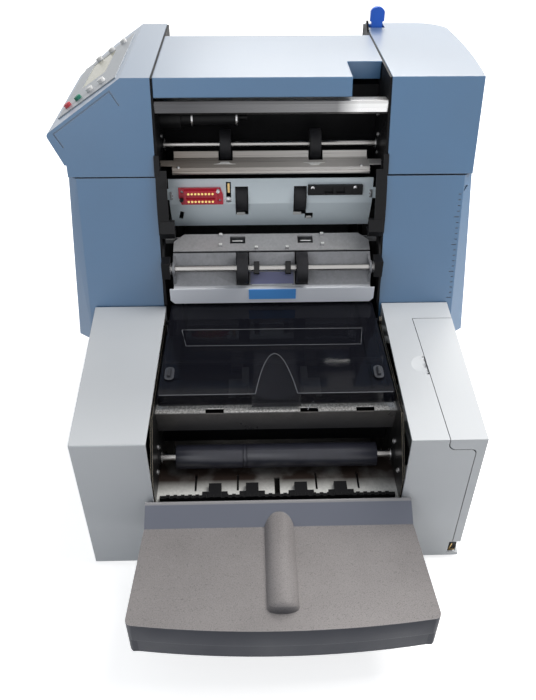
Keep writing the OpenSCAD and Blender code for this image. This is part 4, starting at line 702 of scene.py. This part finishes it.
screw_steel = ground_steel("screw_steel", (0.66, 0.66, 0.67), 0.28, along=(300, 300, 300))
rubbed_zinc = zinc_sheet("rubbed_zinc", (0.82, 0.82, 0.8), 0.4, metallic=0.2)
spring_steel = ground_steel("spring_steel", (0.4, 0.41, 0.43), 0.3, along=(200, 200, 900))
brass = ground_steel("brass", (0.62, 0.44, 0.2), 0.32, along=(500, 500, 500))
bush_black = moulded("bush_black", (0.012, 0.012, 0.013), 0.38, specular=0.3)
lug_white = moulded("lug_white", (0.72, 0.72, 0.7), 0.4)
print("six finishes for fittings")

# %% [markdown]
# Cross-head screws hold the sensor bar, the upper guide, the frames and the rear panel. A head is a round
# grid of points on a dome, and the points inside a cross are lowered, which needs no cutting. Those at the
# back are placed by rays from behind.

# %% Screws
dome_height, dome_bend, cross_half, cross_reach, cross_depth, head_foot = 0.36, 0.75, 0.15, 0.66, 0.22, 0.0002


def cross_screw(name, across, sides=48, rows=12):
    """A domed head with a cross recess."""
    radius = across / 2
    shape = bmesh.new()

    def lifted(x, y):
        reach = math.hypot(x, y) / radius
        dome = dome_height * across * math.sqrt(1 - dome_bend * reach * reach)
        in_cross = min(abs(x), abs(y)) < cross_half * radius and reach < cross_reach
        return shape.verts.new((x, y, dome - (cross_depth * across if in_cross else 0)))

    rims = [[lifted(x, y) for x, y in arc(radius * k / rows, 0, 360, sides + 1)[:-1]]
            for k in range(1, rows + 1)]
    rims.append([shape.verts.new((v.co.x, v.co.y, -head_foot)) for v in rims[-1]])
    middle = lifted(0, 0)
    for k in range(sides):
        shape.faces.new((rims[0][k], rims[0][k - 1], middle))
    skin(shape, rims)
    shape.faces.new(rims[-1])
    return as_piece(name, shape)


front_screws = {
    "sensor_bar": [(312.8, 188, 0.0046), (355.4, 187.4, 0.0046)],
    "upper_guide": [(178.5, 167.6, 0.0044), (361.5, 165.5, 0.0046)],
    "tower_left_frame": [(162, 116, 0.0056), (161, 136, 0.0056)],
    "tower_right_frame": [(378, 114, 0.0056), (378.5, 134, 0.0056), (377, 152, 0.0056)],
    "left_side_frame": [(158, 447, 0.006), (157.6, 472, 0.006)],
    "right_side_frame": [(394.6, 441, 0.006), (398.2, 470, 0.006)]}
front_places = [(node, *spot) for node, spots in front_screws.items() for spot in spots]
for count, (node, column, row, across) in enumerate(front_places):
    screw = cross_screw("screw_front_%d" % count, across)
    fix(screw, node, (column, row), screw_steel, "bright_steel", spin=0.4 + 0.9 * count)

panel_x, panel_heights, panel_screw = 0.122, (0.045, 0.165, 0.3, 0.415), 0.0065
inlet_margin, inlet_screw = 0.0025, 0.004
rear_screws = [("rear_panel", side * panel_x, z, panel_screw) for side, _ in SIDES for z in panel_heights]
low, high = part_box("power_inlet")
rear_screws += [("power_inlet", x, (low.z + high.z) / 2, inlet_screw)
                for x in (low.x + inlet_margin, high.x - inlet_margin)]
for count, (node, x, z, across) in enumerate(rear_screws):
    screw = cross_screw("screw_rear_%d" % count, across)
    fasten(screw, node, *meet(node, (x, FAR, z), FORWARD), screw_steel, "bright_steel", spin=0.7 * count)
print(len(front_places) + len(rear_screws), "screws")

# %% [markdown]
# The deck has six pressed studs. A pale cap with a rounded square outline sits on each, as the wear of
# passing paper keeps their tops bright. Two windows of the deck have a bright lower lip.

# %% Stud caps and deck lips
cap_outline, lip_outline = rounded(0.0042, 0.0042, 0.0012), rounded(0.013, 0.0016, 0.0005)
right_studs = ((0.063, 0.09), (0.063, 0.073), (0.019, 0.068))
stud_places = [(side * x, y) for side, _ in SIDES for x, y in right_studs]
deck_lip_points, window_width = ((237.5, 241.2), (305.4, 240.6)), 18
for count, (x, y) in enumerate(stud_places):
    cap = cut_sheet("stud_cap_%d" % count, cap_outline, thickness=0.0005, edge=0.0002)
    fasten(cap, "feed_deck", *meet("feed_deck", (x, y, FAR), DOWN), rubbed_zinc, "bright_steel")
for count, point in enumerate(deck_lip_points):
    lip = cut_sheet("deck_lip_%d" % count, lip_outline, thickness=0.0006, edge=0.0002)
    fix(lip, "feed_deck", point, rubbed_zinc, "bright_steel", aside=window_width)
print(len(stud_places), "stud caps and", len(deck_lip_points), "lips")

# %% [markdown]
# Each shaft turns in black flanged bushes in the side frames, and spring clips keep it from sliding. A bush
# is a closed lathe profile; a clip is an open ring cut from sheet. The pinch shaft has a collar at each end.

# %% Bushes, clips and collars
def along_x(side):
    return Vector((side, 0, 0))


def shaft_radius(node):
    low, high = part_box(node)
    return (high.z - low.z) / 2


def around(radius, profile):
    """A lathe profile, moved out to a radius."""
    return [(radius + reach, height) for reach, height in profile]


journal, bush_play, clip_play, clip_reach, clip_place = 0.003, 0.0004, 0.0002, 0.0034, 0.0032
bush_profile = [(0, 0), (0.0046, 0), (0.0046, 0.001), (0.004, 0.0014), (0.0018, 0.0014), (0.0018, 0.0026),
                (0, 0.0026)]
side_plates, tower_plates = "%s_side_frame", "tower_%s_frame"
bearings = [("exit", shaft_radius("exit_shaft"), side_plates), ("transfer", journal, side_plates),
            ("envelope", journal, side_plates), ("upper", shaft_radius("upper_shaft"), tower_plates)]
for label, radius, plates in bearings:
    axis, inner = pivot[label + "_roller_spin"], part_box(plates % "right")[0].x
    for side, word in SIDES:
        place, inward = Vector((side * inner, axis.y, axis.z)), along_x(-side)
        bush = turned("%s_bush_%s" % (label, word), around(radius + bush_play, bush_profile), ring=True)
        fasten(bush, plates % word, place, inward, bush_black, "black_plastic")
        ring = arc(radius + clip_reach, 130, 410, 22) + arc(radius + clip_play, 400, 140, 18)
        clip = cut_sheet("%s_clip_%s" % (label, word), ring, thickness=0.0008, edge=0.00015)
        fasten(clip, label + "_shaft", place + inward * clip_place, inward, screw_steel, "steel", spin=0.8)

pinch, collar_x = pivot["pinch_roller_spin"], 0.1225
collar_profile = [(0.0002, 0), (0.0026, 0), (0.003, 0.0005), (0.003, 0.003), (0.0022, 0.0038),
                  (0.0002, 0.0038)]
for side, word in SIDES:
    collar = turned("pinch_collar_" + word, around(shaft_radius("pinch_shaft"), collar_profile), ring=True)
    place = Vector((side * collar_x, pinch.y, pinch.z))
    fasten(collar, "pinch_shaft", place, along_x(side), screw_steel, "bright_steel")
print(2 * len(bearings), "bushes with clips, and two collars")

# %% [markdown]
# The red connector has two posts for the plug's screws, one black and one bright. Beside it a keyhole slot
# shows a strip of brass, with a screw in its round end. The plate is held at its sides by sprung clips.

# %% Connector posts, keyhole and side clips
post_profile = [(0.0025, 0), (0.0025, 0.0038), (0.0021, 0.0044), (0.0013, 0.0044), (0.0013, 0.002)]
black_point, bright_point = (181.6, 199.5), (218, 190.5)
fix(turned("post_black", post_profile, sides=6), "dock_connector", black_point, bush_black, "black_plastic")
fix(turned("post_bright", post_profile, sides=6), "dock_connector", bright_point, screw_steel, "bright_steel")

strip_point, screw_point, slot_clear = (228.6, 188.5), (228.6, 199.5), 26
washer_profile = [(0.0036, 0), (0.0036, 0.0006), (0.0032, 0.0008), (0.0016, 0.0008)]
strip = cut_sheet("keyhole_strip", rounded(0.003, 0.0125, 0.0012), thickness=0.0008)
washer, screw = turned("keyhole_washer", washer_profile), cross_screw("keyhole_screw", across=0.0046)
fix(strip, "connector_plate", strip_point, brass, "gold", slot_clear, sink=0.0022)
fix(washer, "connector_plate", screw_point, spring_steel, "steel", slot_clear, sink=0.0004)
fix(screw, "connector_plate", screw_point, screw_steel, "bright_steel", slot_clear, sink=-0.0003)

clip_half = [(-0.0016, -0.005), (0.0016, -0.005), (0.0016, -0.003), (0.0004, -0.003), (0.0004, -0.001),
             (0.0022, -0.001)]
clip_outline = clip_half + [(x, -y) for x, y in reversed(clip_half)]
plate_clips = (("left", (171.5, 195.5), 0), ("right", (370.5, 193), math.pi))
for word, point, spin in plate_clips:
    clip = cut_sheet("plate_clip_" + word, clip_outline, thickness=0.0022)
    fix(clip, "connector_plate", point, spring_steel, "steel", spin=spin)
print("posts, keyhole and side clips")

# %% [markdown]
# The windows of the connector plate have small turned-out lips, and the upper guide flares around its two
# tyres. Both are bright scraps of sheet that catch the light, so a flat outline is enough.

# %% Window lips and guide flares
window_lips = (((241, 213), -12, 0.0105), ((297, 212.5), -12, 0.0105), ((308.5, 216.5), 12, 0.007))
for count, (point, aside, width) in enumerate(window_lips):
    lip = cut_sheet("window_lip_%d" % count, rounded(width, 0.0045, 0.0012), thickness=0.001)
    fix(lip, "connector_plate", point, lug_white, "white_plastic", aside, sink=-0.0004)

flare_right = [(0.014, -0.0024), (0.0095, -0.0018), (0.007, -0.0005), (0.0056, 0.0015), (0.0052, 0.0045)]
flare = flare_right[-1:] + [(-x, y) for x, y in reversed(flare_right)] + flare_right[:-1]
flare_points, tyre_clear = ((224.8, 163.5), (314.5, 163.5)), 14
for count, point in enumerate(flare_points):
    scrap = cut_sheet("guide_flare_%d" % count, flare, thickness=0.0006)
    fix(scrap, "upper_guide", point, rubbed_zinc, "bright_steel", tyre_clear)
print(len(window_lips), "lips and", len(flare_points), "flares")

# %% [markdown]
# On the jam flap a tinted film lies between the tyres, with a pale strip along its edge, and two black
# saddles hold the shaft. A saddle is an outline like a bridge, cut from thick sheet and stood on edge.

# %% Film and saddles
film_violet = moulded("film_violet", (0.15, 0.16, 0.3), 0.28, mottling=0.1)
film_point, film_reach = (272, 278), 0.0078
place, flap_out = spot_on("jam_flap", *film_point)
flap_run = ACROSS.cross(flap_out)
film = cut_sheet("flap_film", rounded(0.053, 0.015, 0.0008), thickness=0.0005, edge=0.0001)
fasten(film, "jam_flap", place, flap_out, film_violet, "blue_plastic", sink=0.0001)
strip = cut_sheet("flap_film_edge", rounded(0.05, 0.0014, 0.0004), thickness=0.0012)
fasten(strip, "jam_flap", place + flap_run * film_reach, flap_out, pale_moulding, "pale_plastic")

saddle_x, saddle_width, flap_side = 0.019, 0.0066, flap_run.cross(flap_out)
saddle_right = [(0.0071, 0.0071), (0.0071, -0.004), (0.0078, -0.004), (0.0078, 0.0064), (0.0064, 0.0078)]
saddle = saddle_right + [(-x, y) for x, y in reversed(saddle_right)]
for side, word in SIDES:
    cover = cut_sheet("shaft_saddle_" + word, saddle, saddle_width)
    axes = Matrix((flap_run, flap_out, flap_side)).transposed().to_4x4()
    corner = Vector((side * saddle_x, pinch.y, pinch.z)) - flap_side * (saddle_width / 2)
    cover.matrix_world = Matrix.Translation(corner) @ axes
    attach(cover, "jam_flap")
    dress(bush_black, cover)
print("film and saddles")

# %% [markdown]
# The feed motor has two bright bands and a small plug with four ways on its board. The plug is a comb-shaped
# outline, thick enough to stand up.

# %% Motor bands and plug
axis_height, band_places = 0.014, (-0.096, -0.042)
band_profile = [(0.01, 0), (0.0107, 0.0002), (0.0107, 0.0022), (0.01, 0.0024)]
low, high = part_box("feed_motor")
motor_axis = Vector((0, (low.y + high.y) / 2, low.z + axis_height))
for count, x in enumerate(band_places):
    band = turned("motor_band_%d" % count, band_profile, sides=48, ring=True)
    fasten(band, "feed_motor", motor_axis + along_x(x), along_x(1), screw_steel, "bright_steel")

plug_half, plug_side = 0.0055, 0.003
ways, first_way, way_pitch, way_width, way_floor = 4, 0.0042, 0.0026, 0.0012, 0.0012
comb = [(-plug_half, plug_side), (-plug_half, -plug_side), (plug_half, -plug_side), (plug_half, plug_side)]
for near in (first_way - way * way_pitch for way in range(ways)):
    far = near - way_width
    comb += [(near, plug_side), (near, way_floor), (far, way_floor), (far, plug_side)]

board_green = moulded("board_green", (0.02, 0.13, 0.06), 0.4)
board_x, board_aside, board_thickness = -0.034, 0.003, 0.0012
place, facing = meet("feed_motor", (board_x, motor_axis.y - board_aside, FAR), DOWN)
board = cut_sheet("motor_board", rounded(0.02, 0.012, 0.001), board_thickness)
fasten(board, "feed_motor", place, facing, board_green, "grey_plastic")
plug = cut_sheet("motor_plug", comb, thickness=0.0055)
fasten(plug, "feed_motor", place + facing * board_thickness, facing, lug_white, "white_plastic")
print("motor at", short(motor_axis))

# %% [markdown]
# In the notch at the foot of the side door a folded brass spring shows. It stands a little behind the
# front, so its place is where the line of sight meets an upright plane there. A black sheet behind it
# fills the notch, a painted shade.

# %% Door spring
notch_point, notch_depth = (452.5, 547), 0.004
spring_fold = [(-0.0048, -0.0055), (0.0044, -0.0055), (0.0044, -0.0043), (-0.003, -0.0038),
               (-0.0012, 0.006), (-0.0026, 0.0062)]
along = sight(*notch_point)
notch = EYE + along * ((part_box("right_base_cover")[0].y + notch_depth - EYE.y) / along.y)
spring = cut_sheet("door_spring", spring_fold, thickness=0.0012)
fasten(spring, "base_pan", notch, FORWARD, brass, "gold", sink=0.0012)
# A black sheet behind the spring fills the notch with a painted shade.
notch_shade_sheet = cut_sheet("door_spring_shade", rounded(0.0095, 0.012, 0.001), thickness=0.0008)
fasten(notch_shade_sheet, "base_pan", notch, FORWARD, bush_black, "black_plastic", sink=0.003)
print("door spring at", short(notch))

# %% [markdown]
# Two pads with ribbed pins latch the smoked cover at the front. Its hinge pins end in white caps, and two
# bent wire springs stand at the back of the exit guide.

# %% Latches, hinge caps and springs
latch_grey = moulded("latch_grey", (0.05, 0.052, 0.06), 0.3)
latch_points = (("left", 169.5, 374), ("right", 378.5, 372))
pin_height, pin_half, pin_end, pin_length, rib_pitch = 0.0026, 0.0065, 0.0006, 0.013, 0.002
rib_profile = [(0.0022, 0.0006), (0.0022, 0.0016), (0.0016, 0.0018), (0.0016, 0.0024)]
ribs = [(radius, height + rib * rib_pitch) for rib in range(6) for radius, height in rib_profile]
pin_profile = [(pin_end, 0)] + ribs + [(pin_end, pin_length)]
for word, column, row in latch_points:
    place, facing = spot_on("smoked_cover", column, row)
    pad = cut_sheet("latch_pad_" + word, rounded(0.0105, 0.02, 0.0045), thickness=0.0012)
    fasten(pad, "smoked_cover", place, facing, latch_grey, "black_plastic")
    lengthwise = facing.cross(ACROSS)
    pin = turned("latch_pin_" + word, pin_profile, sides=20)
    fasten(pin, "smoked_cover", place + facing * pin_height - lengthwise * pin_half, lengthwise, latch_grey,
           "black_plastic")

hinge, outer = pivot["smoked_cover_hinge"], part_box("right_side_frame")[1].x
hinge_profile = [(0.0044, 0), (0.0044, 0.001), (0.0036, 0.0018), (0.001, 0.0018)]
for side, word in SIDES:
    cap = turned("hinge_cap_" + word, hinge_profile)
    place = Vector((side * outer, hinge.y, hinge.z))
    fasten(cap, "smoked_cover", place, along_x(side), lug_white, "white_plastic")

spring_points, slot_clear = ((308, 408.5, 1), (317.5, 407.5, -1)), 22
spring_bend = [(0, 0, -0.002), (0.0012, 0.001, 0.002), (0.004, 0.003, 0.0055), (0.0046, 0.004, 0.006),
               (0.005, 0.005, 0.0054), (0.0042, 0.006, 0.002)]
for count, (column, row, lean) in enumerate(spring_points):
    spring = wire("guide_spring_%d" % count, [(x * lean, y, z) for x, y, z in spring_bend], thickness=0.0009)
    spring.location = spot_on("exit_guide", column, row, aside=slot_clear)[0]
    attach(spring, "chassis")
    dress(spring_steel, spring)
print("latches, hinge caps and springs")

# %% [markdown]
# The smoked cover has a finger scoop in front. A fine raised bead runs around it and along the front edge,
# and another frames the raised field behind. They are a grey much paler than the smoked plastic, a painted
# highlight, so they show as thin light lines. The half width of the scoop at each step follows from the
# tube that cuts it.

# %% Beads on the smoked cover
# Much paler than the smoked plastic: a painted highlight.
bead_highlight_grey = moulded("bead_highlight", (0.15, 0.155, 0.17), 0.25, specular=0.6)
cover_point, front_y = (215, 352), -0.119
scoop_depth, scoop_length, tube_radius, scoop_steps, bead_lift = 0.006, 0.064, 0.0471, 16, 0.0001
front_bead_x = (0.0232, 0.07, 0.1275)
field_points = ((182, 330), (242, 329.4), (302, 328.6), (362, 328), (361, 344), (301, 344.6), (245, 345.4),
                (186, 346))


def bead(name, points, thickness=0.0009):
    piece = wire(name, points, thickness)
    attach(piece, "smoked_cover")
    dress(bead_highlight_grey, piece)


cover_spot, cover_up = spot_on("smoked_cover", *cover_point)
cover_back = cover_up.cross(ACROSS)
start = cover_spot + cover_back * ((front_y - cover_spot.y) / cover_back.y)
start.x = 0
scoop_edge = []
for step in range(-scoop_steps, scoop_steps + 1):
    away = scoop_length * (1 - (abs(step) / scoop_steps) ** 2)
    dip = scoop_depth * (1 - away / scoop_length)
    half = math.copysign(math.sqrt(2 * tube_radius * dip - dip * dip), step)
    scoop_edge.append(start + cover_back * away + along_x(half) + cover_up * bead_lift)
bead("scoop_bead", scoop_edge)
for side, word in SIDES:
    bead("front_bead_" + word, [start + along_x(side * x) for x in front_bead_x])
field = [spot_on("smoked_cover", column, row)[0] for column, row in field_points]
bead("field_bead", field + field[:1], thickness=0.0007)
print("four beads")

# %% [markdown]
# Over the vents in the base pan lies a mat of black filter foam, which keeps daylight out of the bay. Its
# surface is a fine grid whose points are raised by a fixed noise.

# %% Filter foam
foam_width, foam_length, columns, rows = 0.262, 0.213, 44, 36
foam_middle, foam_height, foam_rough, foam_step = Vector((0, 0.195, 0.0082)), 0.004, 0.0012, 0.9
foam = bmesh.new()
bmesh.ops.create_grid(foam, x_segments=columns, y_segments=rows, size=0.5)
for v in foam.verts:
    step = Vector(((v.co.x + 0.5) * columns * foam_step, (v.co.y + 0.5) * rows * foam_step, 3))
    v.co = (v.co.x * foam_width, v.co.y * foam_length, foam_height + foam_rough * noise.noise(step))
border = [e for e in foam.edges if e.is_boundary]
skirt = bmesh.ops.extrude_edge_only(foam, edges=border)["geom"]
for corner in (v for v in skirt if isinstance(v, bmesh.types.BMVert)):
    corner.co.z = 0
bmesh.ops.contextual_create(foam, geom=[e for e in foam.edges if e.is_boundary])
foam_mat = as_piece("vent_foam", foam, crease=60)
foam_mat.location = foam_middle
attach(foam_mat, "chassis")
dress(tyre_rubber, foam_mat)
print("foam on the pan at", short(foam_middle))

# %% [markdown]
# The ridge on the tray ends in a rounded nose. It is a stack of sections of the ridge, each smaller and
# further forward, as on a quarter of an ellipse. Its points are kept in the tray's own coordinates, so the
# tray's finish runs on over it.

# %% Ridge nose
ridge_width, ridge_height, nose_reach, nose_overlap = 0.031, 0.012, 0.0065, 0.006
sections, spread, snug, least, fullness = 10, 24, 0.992, 0.02, 0.8
beside_ridge = (0.03, nose_root, FAR)
ridge_radius = ((ridge_width / 2) ** 2 + ridge_height ** 2) / (2 * ridge_height)
widest = math.asin(ridge_width / 2 / ridge_radius)
nose = bmesh.new()


def nose_section(size, reach):
    """The ridge's section, from foot to foot."""
    turns = [widest * (2 * m / spread - 1) for m in range(spread + 1)]
    return [nose.verts.new((size * ridge_radius * math.sin(turn), reach,
                            size * (ridge_radius * math.cos(turn) - ridge_radius + ridge_height)))
            for turn in turns]


loops = [nose_section(snug, -nose_overlap)]
for k in range(sections + 1):
    turn = math.pi / 2 * k / sections
    loops.append(nose_section(snug * max(math.cos(turn), least) ** fullness, nose_reach * math.sin(turn)))
skin(nose, loops, closed=False)
for loop in (loops[0], loops[-1]):
    nose.faces.new(loop)
nose.faces.new([loop[0] for loop in loops] + [loop[-1] for loop in reversed(loops)])

tray_spot, tray_up = meet("exit_tray", beside_ridge, DOWN)
tray_ahead = ACROSS.cross(tray_up)
nose_base = Vector((0, tray_spot.y, tray_spot.z))
nose_axes = Matrix((tray_ahead.cross(tray_up), tray_ahead, tray_up)).transposed().to_4x4()
nose_piece = as_piece("ridge_nose", nose, crease=50)
nose_piece.data.transform(Matrix.Translation(nose_base) @ nose_axes)
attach(nose_piece, "exit_tray")
dress(tray, nose_piece)
print("nose at", short(nose_base))
